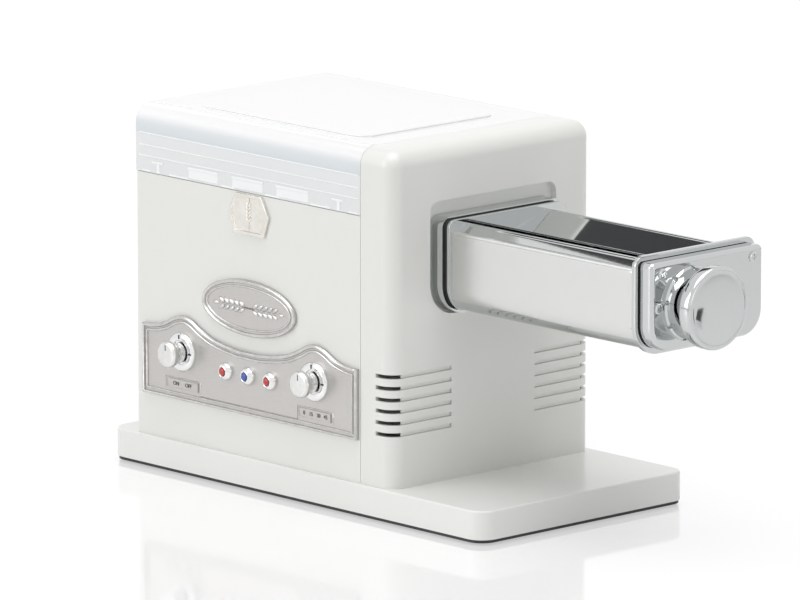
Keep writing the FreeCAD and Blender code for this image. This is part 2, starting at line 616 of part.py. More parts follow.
def bush(label, x, y, z, radius, length):
    """Plain bearing bush round a shaft."""
    outer = rod(label + "_outer", "X", x, y, z, f"{radius} + run_gap + bush_wall", length)
    inner = rod(label + "_inner", "X", f"{x} - 1", y, z, f"{radius} + run_gap", f"{length} + 2")
    return cut(label, outer, inner)


def flank(teeth, module, pressure, thickness, tip, root, steps=3):
    """Half of a tooth as (radius, half angle) pairs from root to tip."""
    pitch = module * teeth / 2
    base = pitch * math.cos(pressure)

    def roll(angle):
        return math.tan(angle) - angle

    def half(radius):
        return thickness / (2 * pitch) + roll(pressure) - roll(math.acos(min(1.0, base / radius)))

    start = max(base, root)
    radii = [start + (tip - start) * i / steps for i in range(steps + 1)]
    points = [(radius, half(radius)) for radius in radii]
    if root < base:
        points.insert(0, (root, points[0][1]))
    return points


def gear(teeth, module, width, phase, bore_radius, thickness=None, tip=None, root=None):
    """Spur gear along X with one tooth centred at the phase angle."""
    teeth = int(teeth)
    pressure = math.radians(s.pressure_angle)
    thickness = thickness or math.pi * module / 2 - s.backlash
    tip = tip or module * (teeth / 2 + 1) - 0.1
    root = root or module * (teeth / 2 - 1.25)
    side = flank(teeth, module, pressure, thickness, tip, root)
    points = []
    for k in range(teeth):
        middle = phase + math.tau * k / teeth
        for radius, half in side:
            points.append(Vector(0, radius * math.cos(middle - half), radius * math.sin(middle - half)))
        for radius, half in reversed(side):
            points.append(Vector(0, radius * math.cos(middle + half), radius * math.sin(middle + half)))
    disc = Part.Face(Part.makePolygon(points + [points[0]])).extrude(Vector(width, 0, 0))
    hole = Part.makeCylinder(bore_radius, width + 2, Vector(-1, 0, 0), Vector(1, 0, 0))
    return disc.cut(hole)


def hexagon(across, length):
    """Hexagonal bar along X."""
    corner = across / math.sqrt(3)
    points = [Vector(0, corner * math.cos(math.radians(a)), corner * math.sin(math.radians(a)))
              for a in range(30, 391, 60)]
    return Part.Face(Part.makePolygon(points)).extrude(Vector(length, 0, 0))


def make_drive():
    """Motor, two gear stages, kneader and the socket that drives the attachment."""
    to_idler = math.radians(s.idler_angle)
    to_motor = math.radians(s.motor_angle)
    gap = math.pi / s.idler_small_teeth
    final = gear(s.final_teeth, s.final_module, s.final_width, to_idler, s.shaft_radius)
    keep(solid("final_gear", final, s.final_left, s.drive_y, s.drive_z), "output_gear")
    small = gear(s.idler_small_teeth, s.final_module, s.first_left - s.final_left, to_idler + math.pi + gap,
                 s.idler_pin_radius + s.run_gap)
    large = gear(s.idler_large_teeth, s.motor_module, s.first_width, to_motor,
                 s.idler_pin_radius + s.run_gap)
    large.translate(Vector(s.first_left - s.final_left, 0, 0))
    keep(solid("idler", small.fuse(large), s.final_left, s.idler_y, s.idler_z), "intermediate_gear")
    pinion = gear(s.pinion_teeth, s.motor_module, s.first_width, to_motor + math.pi + math.pi / s.pinion_teeth,
                  s.motor_shaft_radius)
    keep(solid("pinion", pinion, s.first_left, s.motor_y, s.motor_z), "motor_pinion")
    pin = rod("idler_rod", "X", "frame_right", "idler_y", "idler_z", "idler_pin_radius",
              "recess_back - frame_right - fit_gap")
    collar = rod("idler_collar", "X", "frame_right", "idler_y", "idler_z", "idler_pin_radius + 2",
                 "final_left - frame_right - fit_gap")
    keep(fuse("idler_pin_solid", pin, collar), "idler_pin")

    shaft = rod("kneader_rod", "X", "tub_left - 1", "drive_y", "drive_z", "shaft_radius",
                "first_left - tub_left + 1")
    keep(shaft, "kneader_shaft")
    socket = Part.makeCylinder(s.socket_radius, s.recess_floor - 0.2 - s.first_left, Vector(), Vector(1, 0, 0))
    mouth = hexagon(s.hex_across + 2 * s.fit_gap, s.hex_depth + 1)
    mouth.translate(Vector(s.recess_floor - 0.2 - s.first_left - s.hex_depth, 0, 0))
    keep(solid("socket", socket.cut(mouth), s.first_left, s.drive_y, s.drive_z), "drive_socket")
    make_kneader()
    bushes = [bush("tub_bush_left", "tub_left", "drive_y", "drive_z", "shaft_radius", "tub_wall"),
              bush("tub_bush_right", "seam - tub_wall", "drive_y", "drive_z", "shaft_radius",
                   "tub_wall + frame_thickness")]
    bushes.append(bush("socket_bush", "recess_back", "drive_y", "drive_z", "socket_radius", "wall"))
    keep(group("shaft_bush_set", *bushes), "shaft_bushes")
    make_motor()


def make_kneader():
    """Hub sleeve with crossed arms and a wiper bar on each side."""
    inside = s.seam - s.tub_wall - (s.tub_left + s.tub_wall)
    length = inside - 6
    start = s.tub_left + s.tub_wall + 3
    hub = Part.makeCylinder(s.shaft_radius + 3, length, Vector(), Vector(1, 0, 0))
    arms = []
    reach = s.arm_reach - s.arm_radius
    count = 4
    for k in range(count):
        x = length * (k + 0.5) / count
        side = 1 if k % 2 else -1
        arms.append(Part.makeCylinder(s.arm_radius, reach, Vector(x, 0, 0), Vector(0, side, 0)))
        arms.append(Part.makeSphere(s.arm_radius, Vector(x, side * reach, 0)))
    for side in (-1, 1):
        low = length * (0.5 if side > 0 else 0) / count + (length / count if side > 0 else length / count / 2)
        first = length * (1.5 if side > 0 else 0.5) / count
        arms.append(Part.makeCylinder(s.arm_radius, 2 * length / count, Vector(first, side * reach, 0),
                                      Vector(1, 0, 0)))
        arms.append(Part.makeSphere(s.arm_radius, Vector(first + 2 * length / count, side * reach, 0)))
    hole = Part.makeCylinder(s.shaft_radius, length + 2, Vector(-1, 0, 0), Vector(1, 0, 0))
    keep(solid("kneader", hub.fuse(arms).cut(hole), start, s.drive_y, s.drive_z), "kneader_blade")


def make_motor():
    """Motor can on the inner frame, with its armature, shaft and fan."""
    left = "seam - motor_length"
    can = rod("can", "X", left, "motor_y", "motor_z", "motor_radius", "motor_length")
    hollow = rod("can_hollow", "X", f"{left} + motor_wall", "motor_y", "motor_z", "motor_radius - motor_wall",
                 "motor_length - 2 * motor_wall")
    bores = rod("can_bore", "X", f"{left} - 1", "motor_y", "motor_z", "motor_shaft_radius + run_gap",
                "motor_length + 2")
    poles = cut("poles", rod("pole_ring", "X", f"{left} + 12", "motor_y", "motor_z",
                             "motor_radius - motor_wall", "motor_length - 24"),
                rod("pole_bore", "X", f"{left} + 11", "motor_y", "motor_z", "armature_radius + 1",
                    "motor_length - 22"))
    keep(fuse("motor_can", cut("can_shell", can, hollow, bores), poles), "motor_housing")
    armature = rod("armature_core", "X", f"{left} + 14", "motor_y", "motor_z", "armature_radius",
                   "motor_length - 28")
    spindle = rod("spindle", "X", f"{left} - fan_width - 5", "motor_y", "motor_z", "motor_shaft_radius",
                  "motor_length + fan_width + 5 + first_right - seam")
    keep(fuse("armature_solid", armature, spindle), "motor_armature")
    hub = Part.makeCylinder(7, s.fan_width, Vector(), Vector(1, 0, 0))
    blades = []
    for k in range(int(s.fan_blades)):
        blade = Part.makeBox(s.fan_width, s.fan_radius - 5, 1.5, Vector(0, 5, -0.75))
        blade.rotate(Vector(), Vector(1, 0, 0), 360 * k / s.fan_blades)
        blades.append(blade)
    back = Part.makeCylinder(s.fan_radius, 1.5, Vector(s.fan_width - 1.5, 0, 0), Vector(1, 0, 0))
    hole = Part.makeCylinder(s.motor_shaft_radius, s.fan_width + 2, Vector(-1, 0, 0), Vector(1, 0, 0))
    fan = hub.fuse(blades + [back]).cut(hole)
    keep(solid("fan", fan, s.seam - s.motor_length - s.fan_width - 3, s.motor_y, s.motor_z), "cooling_fan")


# Front controls

def panel_outline(grow=0.0):
    """Control plate's outline in the XZ plane: straight sides and a twin-crested top."""
    half = s.panel_width / 2 + grow
    low = s.panel_z - grow
    end, crest, dip = (s.panel_z + h + grow for h in
                       (s.panel_end_height, s.panel_crest_height, s.panel_dip_height))
    spread = s.knob_spread
    rows = [(-half, end), (-spread - 23, end + 0.4), (-spread, crest), (-spread / 2, dip + 2.6), (0, dip),
            (spread / 2, dip + 2.6), (spread, crest), (spread + 23, end + 0.4), (half, end)]
    top = Part.BSplineCurve()
    top.interpolate([Vector(x, 0, z) for x, z in rows])
    corners = [Vector(-half, 0, low), Vector(half, 0, low)]
    sides = [Part.LineSegment(Vector(half, 0, end), corners[1]).toShape(),
             Part.LineSegment(corners[1], corners[0]).toShape(),
             Part.LineSegment(corners[0], Vector(-half, 0, end)).toShape()]
    return Part.Wire([top.toShape()] + sides)


def front_bores(depth):
    """Holes for the two spindles and the three buttons, along Y."""
    holes = []
    for k in (-1, 1):
        holes.append(Part.makeCylinder(s.spindle_radius + s.fit_gap, depth, Vector(k * s.knob_spread, -1, s.knob_z),
                                       Vector(0, 1, 0)))
    for k in (-1, 0, 1):
        holes.append(Part.makeCylinder(s.button_radius + s.run_gap, depth,
                                       Vector(k * s.button_pitch, -1, s.button_z), Vector(0, 1, 0)))
    return holes


def make_control_plate():
    """Brushed plate with a raised rim and two label tabs."""
    sheet = Part.Face(panel_outline()).extrude(Vector(0, s.panel_thickness, 0))
    rim = Part.Face(panel_outline()).extrude(Vector(0, s.panel_rim_rise, 0))
    field = Part.Face(panel_outline(-s.panel_rim)).extrude(Vector(0, s.panel_rim_rise, 0))
    border = rim.cut(field)
    border.translate(Vector(0, -s.panel_rim_rise, 0))
    tabs = []
    for k in (-1, 1):
        tabs.append(Part.makeBox(s.label_width, s.label_rise, s.label_height,
                                 Vector(k * s.knob_spread - s.label_width / 2, -s.label_rise,
                                        s.knob_z - s.label_drop - s.label_height / 2)))
    plate = sheet.fuse([border] + tabs).cut(front_bores(s.panel_thickness + 4))
    keep(solid("plate", plate.removeSplitter(), s.panel_x, s.panel_face), "control_plate")


def make_plaques():
    """Oval plaque and hexagonal badge, both bare."""
    def oval(width, height, depth):
        curve = Part.Ellipse(Vector(0, 0, 0), width / 2, height / 2)
        face = Part.Face(Part.Wire(curve.toShape()))
        face.rotate(Vector(), Vector(1, 0, 0), 90)
        return face.extrude(Vector(0, depth, 0))

    thick, rim = s.plaque_thickness, s.plaque_rim
    plate = oval(s.plaque_width, s.plaque_height, thick)
    hollow = oval(s.plaque_width - 2 * rim, s.plaque_height - 2 * rim, thick * 0.4)
    keep(solid("oval", plate.cut(hollow), s.panel_x, s.front_face - thick, s.deck + s.plaque_centre),
         "front_plaque")

    def hexagon_plate(inset, depth):
        half, top, low = (w / 2 - inset for w in (s.badge_width, s.badge_top_width, s.badge_low_width))
        rows = [(-low, inset), (low, inset), (half, s.badge_height * 0.52), (top, s.badge_height - inset),
                (-top, s.badge_height - inset), (-half, s.badge_height * 0.52)]
        points = [Vector(x, 0, z) for x, z in rows]
        return Part.Face(Part.makePolygon(points + [points[0]])).extrude(Vector(0, depth, 0))

    badge = hexagon_plate(0, s.badge_thickness).cut(hexagon_plate(2, s.badge_thickness * 0.4))
    keep(solid("badge", badge, s.panel_x, s.front_face - s.badge_thickness, s.deck + s.badge_low),
         "front_badge")


KNOB_SIDES = (("left", -1), ("right", 1))
BUTTONS = (("left", -1), ("middle", 0), ("right", 1))


def make_knobs():
    """Two dials with their knobs, spindles and switches behind the front."""
    rings, cases = [], []
    for side, k in KNOB_SIDES:
        x = f"panel_x + {k} * knob_spread"
        ring = turned(f"{side}_dial_body", "Y", [
            ("0", "spindle_radius + fit_gap"), ("-dial_thickness * 0.7", "spindle_radius + fit_gap"),
            ("-dial_thickness", "knob_neck + 0.8"), ("-dial_thickness * 0.9", "dial_radius - 1.4"),
            ("-dial_thickness * 0.6", "dial_radius - 0.4"), ("0", "dial_radius")], x, "panel_face", "knob_z")
        rings.append(ring)
        spindle_end = "casing_inside + switch_depth * 0.7 - panel_face + dial_thickness + fit_gap"
        knob = turned(f"{side}_knob_body", "Y", [
            ("0", "spindle_radius"), ("0", "knob_neck"), ("-knob_length * 0.52", "knob_neck"),
            ("-knob_length * 0.58", "knob_radius - 0.6"), ("-knob_length * 0.68", "knob_radius"),
            ("-knob_length * 0.9", "knob_radius"), ("-knob_length", "knob_radius - 1.2"),
            ("-knob_length", "0"), (spindle_end, "0"), (spindle_end, "spindle_radius")],
            x, "panel_face - dial_thickness - fit_gap", "knob_z")
        keep(knob, f"{side}_knob")
        case = box(f"{side}_switch_case", f"{x} - switch_size / 2", "casing_inside",
                   "knob_z - switch_size / 2", "switch_size", "switch_depth", "switch_size")
        hole = rod(f"{side}_switch_hole", "Y", x, "casing_inside - 1", "knob_z", "spindle_radius + run_gap",
                   "switch_depth * 0.7 + 1.2")
        cases.append(cut(f"{side}_switch_cut", case, hole))
    keep(group("dial_ring_pair", *rings), "knob_dials")
    keep(group("rotary_switch_pair", *cases), "rotary_switches")


def make_buttons():
    """Three push buttons in domed bezels with their switches, the circuit board and the mains inlet."""
    switches, bezels = [], []
    for side, k in BUTTONS:
        x = f"panel_x + {k} * button_pitch"
        bezel = turned(f"{side}_bezel_body", "Y", [
            ("0", "button_radius + run_gap"), ("0", "bezel_radius"), ("-bezel_rise * 0.45", "bezel_radius - 0.5"),
            ("-bezel_rise * 0.85", "bezel_radius - 1.7"), ("-bezel_rise", "button_radius + 0.5"),
            ("-bezel_rise * 0.9", "button_radius + run_gap")], x, "panel_face", "button_z")
        bezels.append(bezel)
        front = "-bezel_rise - panel_thickness - wall - 0.8"
        cap = turned(f"{side}_button_body", "Y", [
            ("0.1", "0"), ("0.1", "button_flange"), ("1.1", "button_flange"), ("1.1", "2"), ("6", "2"),
            ("6", "0")], x, "casing_inside", "button_z")
        stem = new_sketch(cap, "XZ_Plane")
        draw_circle(stem, 0, 0, "button_radius")
        pad(cap, stem, f"-({front})")
        root = new_sketch(cap, "XZ_Plane")
        draw_circle(root, 0, 0, "button_radius")
        pad(cap, root, "0.5", reverse=True)
        keep(cap, f"{side}_button")
        case = box(f"{side}_push_case", f"{x} - 5.5", "casing_inside", "button_z - 5.5", 11, 13, 11)
        room = rod(f"{side}_push_room", "Y", x, "casing_inside - 1", "button_z", "button_flange + fit_gap",
                   6)
        well = rod(f"{side}_push_well", "Y", x, "casing_inside", "button_z", "2 + fit_gap", 9)
        switches.append(cut(f"{side}_push_cut", case, room, well))
    keep(group("bezel_set", *bezels), "button_bezels")
    keep(group("push_switch_set", *switches), "push_switches")
    board = box("board_sheet", "panel_x - board_width / 2", "casing_inside + 13", "button_z - board_height / 2 - 4",
                "board_width", "board_thickness", "board_height")
    gaps = [box(f"board_gap_{k}", f"panel_x + {k} * knob_spread - switch_size / 2 - 1", "casing_inside + 12",
                "knob_z - switch_size / 2 - 1", "switch_size + 2", "board_thickness + 2", "switch_size + 2")
            for k in (-1, 1)]
    chips = [box(f"chip_{k}", f"panel_x + {k} * 14 - 5", "casing_inside + 13 + board_thickness",
                 "button_z - 22", 10, 7, 9) for k in (-2, -1, 0, 1, 2)]
    keep(fuse("board_solid", cut("board_cut", board, *gaps), *chips), "control_board")
    body = box("inlet_body", "inlet_centre - inlet_width / 2 + fit_gap", "back_face - inlet_depth",
               "deck + inlet_lift - inlet_height / 2 + fit_gap", "inlet_width - 2 * fit_gap", "inlet_depth",
               "inlet_height - 2 * fit_gap")
    lip = box("inlet_lip", "inlet_centre - inlet_width / 2 - 3", "back_face",
              "deck + inlet_lift - inlet_height / 2 - 3", "inlet_width + 6", 1.5, "inlet_height + 6")
    well = box("inlet_well", "inlet_centre - inlet_width / 2 + 3", "back_face - inlet_depth + 3",
               "deck + inlet_lift - inlet_height / 2 + 3", "inlet_width - 6", "inlet_depth", "inlet_height - 6")
    pins = [rod(f"inlet_pin_{k}", "Y", f"inlet_centre + {k} * 7", "back_face - inlet_depth + 3",
                "deck + inlet_lift", "1.2", "inlet_depth - 5") for k in (-1, 1)]
    keep(group("inlet_set", cut("inlet_cut", fuse("inlet_solid", body, lip), well), *pins), "mains_inlet")


# Sheet roller attachment

def head_outline(inset, x=0.0):
    """Attachment's end outline: small top corners and large lower ones."""
    half = s.head_width / 2 - inset
    low, top = s.head_z + inset, s.head_top - inset
    small, large = max(s.head_top_radius - inset, 1.0), s.head_low_radius - inset

    def arc(cy, cz, radius, a, b):
        points = [Vector(x, cy + radius * math.cos(math.radians(t)), cz + radius * math.sin(math.radians(t)))
                  for t in (a, (a + b) / 2, b)]
        return Part.Arc(*points).toShape()

    arcs = [arc(half - small, top - small, small, 0, 90), arc(small - half, top - small, small, 90, 180),
            arc(large - half, low + large, large, 180, 270), arc(half - large, low + large, large, 270, 360)]
    joined = []
    for this, following in zip(arcs, arcs[1:] + arcs[:1]):
        joined += [this, Part.LineSegment(this.Vertexes[-1].Point, following.Vertexes[0].Point).toShape()]
    return Part.Face(Part.Wire(joined))


def head_slab(inset, left, right):
    """Slab of the attachment's end outline between two X places."""
    return head_outline(inset, left).extrude(Vector(right - left, 0, 0))


def cylinder_x(x, y, z, radius, length):
    """Cylinder along X for cuts and joins."""
    return Part.makeCylinder(radius, length, Vector(x, y, z), Vector(1, 0, 0))


def travel_slot(left, width, radius):
    """Slot that lets the front journal move with the gap."""
    y = s.front_roller_y
    slot = cylinder_x(left, y, s.drive_z, radius, width).fuse(
        cylinder_x(left, y + s.gap_travel, s.drive_z, radius, width))
    return slot.fuse(Part.makeBox(width, s.gap_travel, 2 * radius, Vector(left, y, s.drive_z - radius)))


def make_head_frame():
    """Mounting flange, seals, end plates, tie bars and end cover."""
    rear_hole = cylinder_x(s.flange_left - 1, s.drive_y, s.drive_z, s.journal_radius + 0.6, s.flange_wall + 2)
    rod_hole = cylinder_x(s.flange_left - 1, s.rod_y, s.drive_z, s.rod_radius + s.run_gap, s.flange_wall + 2)
    cavity = head_slab(3, s.cavity_left, s.flange_right + 1)
    flange = head_slab(0, s.flange_left, s.flange_right).cut([cavity, rear_hole, rod_hole])
    pins = [cylinder_x(s.recess_back + 0.2, k * s.head_width / 3, s.head_z + 10, s.tie_radius,
                       s.flange_left - s.recess_back + 0.3) for k in (-1, 1)]
    keep(solid("flange", flange.fuse(pins)), "mounting_flange")
    seal = head_slab(s.seal_inset, s.flange_right, s.plate_left).cut(
        head_slab(3.5, s.flange_right - 1, s.plate_left + 1))
    bush_radius = s.journal_radius + s.run_gap + s.bush_wall
    journals = [travel_slot(s.plate_left - 1, s.end_plate + 2, s.journal_radius + s.fit_gap),
                cylinder_x(s.plate_left - 1, s.drive_y, s.drive_z, bush_radius, s.end_plate + 2)]
    keep(solid("left_plate", head_slab(s.plate_inset, s.plate_left, s.plate_right).cut(journals)),
         "left_end_plate")
    journals = [travel_slot(s.rim_left - 1, s.rim_thickness + 2, s.journal_radius + s.fit_gap),
                cylinder_x(s.rim_left - 1, s.drive_y, s.drive_z, bush_radius, s.rim_thickness + 2)]
    keep(solid("right_plate", head_slab(0, s.rim_left, s.rim_right).cut(journals)), "right_end_plate")
    ring = head_slab(s.seal_inset + 1.5, s.rim_right, s.cover_left).cut(
        head_slab(s.cover_inset + s.cover_wall + 1, s.rim_right - 1, s.cover_left + 1))
    keep(solid("seals", Part.makeCompound([seal, ring])), "gaskets")
    block = head_slab(s.cover_inset, s.cover_left, s.cover_right)
    face_edges = [edge for edge in block.Edges if near(edge.BoundBox.XMin, s.cover_right)]
    block = block.makeFillet(s.cover_edge, face_edges)
    inner = head_slab(s.cover_inset + s.cover_wall, s.cover_left - 1, s.cover_right - s.cover_wall)
    rod_hole = cylinder_x(s.cover_right - 5, s.rod_y, s.drive_z, s.rod_radius + s.run_gap, 10)
    screws = [cylinder_x(s.cover_right - 5, *place, s.screw_radius + 0.2, 10) for place in end_screw_places()]
    keep(solid("end_cover", block.cut([inner, rod_hole] + screws)), "end_cover")
    heads = []
    for k, (y, z) in enumerate(end_screw_places()):
        shank = cylinder_x(s.rim_right, y, z, s.screw_radius, s.cover_right - s.rim_right)
        heads.append(shank.fuse(cylinder_x(s.cover_right, y, z, s.end_screw_head, s.end_screw_rise)))
    keep(solid("end_screws", Part.makeCompound(heads)), "end_cover_screws")
    ties = [rod(f"tie_{k}", "X", "plate_right", f"{k} * tie_offset", "drive_z", "tie_radius",
                "rim_left - plate_right") for k in (-1, 1)]
    keep(group("tie_pair", *ties), "tie_bars")
    bushes = [bush("rear_bush_left", "plate_left", "drive_y", "drive_z", "journal_radius", "end_plate"),
              bush("rear_bush_right", "rim_left", "drive_y", "drive_z", "journal_radius", "rim_thickness + 3")]
    keep(group("rear_bush_pair", *bushes), "rear_roller_bushes")


def end_screw_places():
    """Centres of the end cover screws in the YZ plane: two at the top and one beside the dial."""
    upper = s.head_top - s.end_screw_drop
    beside = s.rod_y - s.regulator_ring - s.end_screw_head - s.fit_gap
    return [(-s.end_screw_spread, upper), (s.end_screw_spread, upper), (beside, s.drive_z)]


def side_cover(sign):
    """One side of the roller case: hopper slope, rolled rim, side wall and curved skirt."""
    t, deck = s.sheet, s.deck
    face, radius = s.side_face, s.side_low_radius
    low = s.head_z + 2.5

    def low_bend(grow):
        """Underside and lower bend of the skin, moved in by grow."""
        out, bottom, r = face - grow, low + grow, radius - grow
        slant = math.sqrt(0.5) * r
        return [Vector(0, s.exit_half, bottom), Vector(0, out - r, bottom),
                Vector(0, out - r + slant, bottom + r - slant), Vector(0, out, bottom + r)]

    a, b = low_bend(0), low_bend(t)
    shoulder, bend, top = deck + s.shoulder, s.shoulder_radius, deck + s.hopper_top
    side_end, band_start = Vector(0, face, shoulder - bend), Vector(0, face - bend, shoulder)
    bend_middle = Vector(0, face - 0.3 * bend, shoulder - 0.3 * bend)
    band_end = Vector(0, s.crest_half + s.crest_width, top - 0.3)
    crest = Vector(0, s.crest_half + s.crest_width / 2, top + s.crest_rise)
    slope_top, slope_low = Vector(0, s.crest_half, top), Vector(0, s.hopper_half, deck + s.hopper_low)
    under = Vector(0, 0, -t)
    inner_top, inner_side = slope_top + under + Vector(0, 1.5 * t, 0), Vector(0, face - t, shoulder - bend - t / 2)
    edges = [Part.LineSegment(a[0], a[1]).toShape(), Part.Arc(a[1], a[2], a[3]).toShape(),
             Part.LineSegment(a[3], side_end).toShape(), Part.Arc(side_end, bend_middle, band_start).toShape(),
             Part.LineSegment(band_start, band_end).toShape(), Part.Arc(band_end, crest, slope_top).toShape(),
             Part.LineSegment(slope_top, slope_low).toShape(),
             Part.LineSegment(slope_low, slope_low + under).toShape(),
             Part.LineSegment(slope_low + under, inner_top).toShape(),
             Part.LineSegment(inner_top, inner_side).toShape(), Part.LineSegment(inner_side, b[3]).toShape(),
             Part.Arc(b[3], b[2], b[1]).toShape(), Part.LineSegment(b[1], b[0]).toShape(),
             Part.LineSegment(b[0], a[0]).toShape()]
    length = s.rim_left - s.plate_right
    wall = Part.Face(Part.Wire(edges)).extrude(Vector(length, 0, 0))
    panel = Part.makeBox(length - 2 * s.panel_edge, s.panel_stamp + 0.1, side_end.z - a[3].z - 1,
                         Vector(s.panel_edge, face - 0.1, a[3].z + 0.5))
    panel = panel.makeFillet(s.panel_corner, [edge for edge in panel.Edges if along(edge, AXES["Y"])])
    shape = wall.fuse(panel)
    if sign < 0:
        shape = shape.mirror(Vector(), Vector(0, 1, 0))
    return shape


def make_rollers():
    """Covers, scrapers, two rollers with their gears, the sliding bearings and the regulator."""
    keep(solid("front_side", side_cover(-1), s.plate_right), "front_cover")
    keep(solid("rear_side", side_cover(1), s.plate_right), "rear_cover")
    reach = s.roller_radius * math.cos(math.radians(35)) + 0.5
    blade_z = s.drive_z - s.roller_radius * math.sin(math.radians(35))
    length = s.roller_length - 1
    x = s.plate_right + 0.6
    inner = s.side_face - s.sheet
    front_edge = s.front_roller_y - reach
    blades = [Part.makeBox(length, front_edge + inner, 1.5, Vector(x, -inner, blade_z - 0.8)),
              Part.makeBox(length, inner - s.drive_y - reach, 1.5,
                           Vector(x, s.drive_y + reach, blade_z - 0.8))]
    keep(solid("scrapers", Part.makeCompound(blades)), "scrapers")
    start = s.plate_right + s.roller_side_gap
    end = start + s.roller_length
    gear_shape = dict(thickness=s.roller_tooth_thickness, tip=s.roller_tip_radius, root=s.roller_root_radius)
    module = (2 * s.roller_radius + s.gap_narrow) / s.roller_teeth

    rear = cylinder_x(start, 0, 0, s.roller_radius, s.roller_length)
    left_end = s.flange_left + s.fit_gap
    rear = rear.fuse([cylinder_x(left_end, 0, 0, s.journal_radius, start - left_end),
                      cylinder_x(end, 0, 0, s.journal_radius, s.rim_right + 3 - end)])
    shank = hexagon(s.hex_across, s.hex_depth - 1 + left_end - s.recess_floor)
    shank.translate(Vector(s.recess_floor - s.hex_depth + 1, 0, 0))
    keep(solid("rear_core", rear.fuse(shank), 0, s.drive_y, s.drive_z), "rear_roller")
    keep(solid("rear_gear", gear(s.roller_teeth, module, s.roller_gear_width, 0, s.journal_radius, **gear_shape),
               s.gear_left, s.drive_y, s.drive_z), "rear_roller_gear")

    left_end = s.block_left + s.block_thickness / 2
    right_end = s.right_block_left + s.block_thickness / 2
    front = cylinder_x(start, 0, 0, s.roller_radius, s.roller_length)
    front = front.fuse([cylinder_x(left_end, 0, 0, s.journal_radius, start - left_end),
                        cylinder_x(end, 0, 0, s.journal_radius, right_end - end)])
    bore_hole = cylinder_x(left_end - 1, 0, 0, s.roller_bore, right_end - left_end + 2)
    keep(solid("front_core", front.cut(bore_hole), 0, s.front_roller_y, s.drive_z), "front_roller")
    phase = math.pi / s.roller_teeth
    if int(s.roller_teeth) % 2:
        phase = 0
    keep(solid("front_gear", gear(s.roller_teeth, module, s.roller_gear_width, phase, s.journal_radius,
                                  **gear_shape), s.gear_left, s.front_roller_y, s.drive_z),
         "front_roller_gear")
    make_carriage()
    make_regulator()


def bearing_block(x, journal_left):
    """Sliding bearing of the front roller with a cam window and follower nose."""
    size, half = s.block_size, s.block_thickness / 2
    block = Part.makeBox(s.block_thickness, size, size, Vector(0, -size / 2, -size / 2))
    journal_x, window_x = (half, -1) if not journal_left else (-1, half)
    journal = cylinder_x(journal_x, 0, 0, s.journal_radius + s.run_gap, half + 1)
    window = cylinder_x(window_x, 0, 0, s.block_window, half + 1)
    tip = s.rod_y + s.cam_low + s.fit_gap - s.front_roller_y
    nose = Part.makeBox(half - 0.1, s.block_window - tip + 0.6, s.nose_width,
                        Vector(0 if not journal_left else half + 0.1, tip, -s.nose_width / 2))
    shape = block.cut([journal, window]).fuse(nose)
    shape.translate(Vector(x, s.front_roller_y, s.drive_z))
    return shape


def make_carriage():
    """Sliding bearing at each end of the front roller."""
    left = bearing_block(s.block_left, False)
    right = bearing_block(s.right_block_left, True)
    keep(solid("block_pair", Part.makeCompound([left, right])), "bearing_blocks")


def cam(x):
    """Spiral cam: it pushes the bearing block by the gap's travel over the regulator's range."""
    span = math.radians(s.regulator_range)
    count = 36
    points = []
    for k in range(count + 1):
        angle = -span * k / count
        radius = s.cam_low + s.gap_travel * k / count
        points.append(Vector(0, radius * math.cos(angle), radius * math.sin(angle)))
    rest = math.tau - span
    points.append(Vector(0, s.cam_low * math.cos(-span - rest * 0.45), s.cam_low * math.sin(-span - rest * 0.45)))
    points.append(Vector(0, s.cam_low * math.cos(-span - rest * 0.75), s.cam_low * math.sin(-span - rest * 0.75)))
    disc = Part.Face(Part.makePolygon(points + [points[0]])).extrude(Vector(s.cam_thickness, 0, 0))
    shape = disc.cut(cylinder_x(-1, 0, 0, s.rod_radius, s.cam_thickness + 2))
    shape.translate(Vector(x, 0, 0))
    return shape


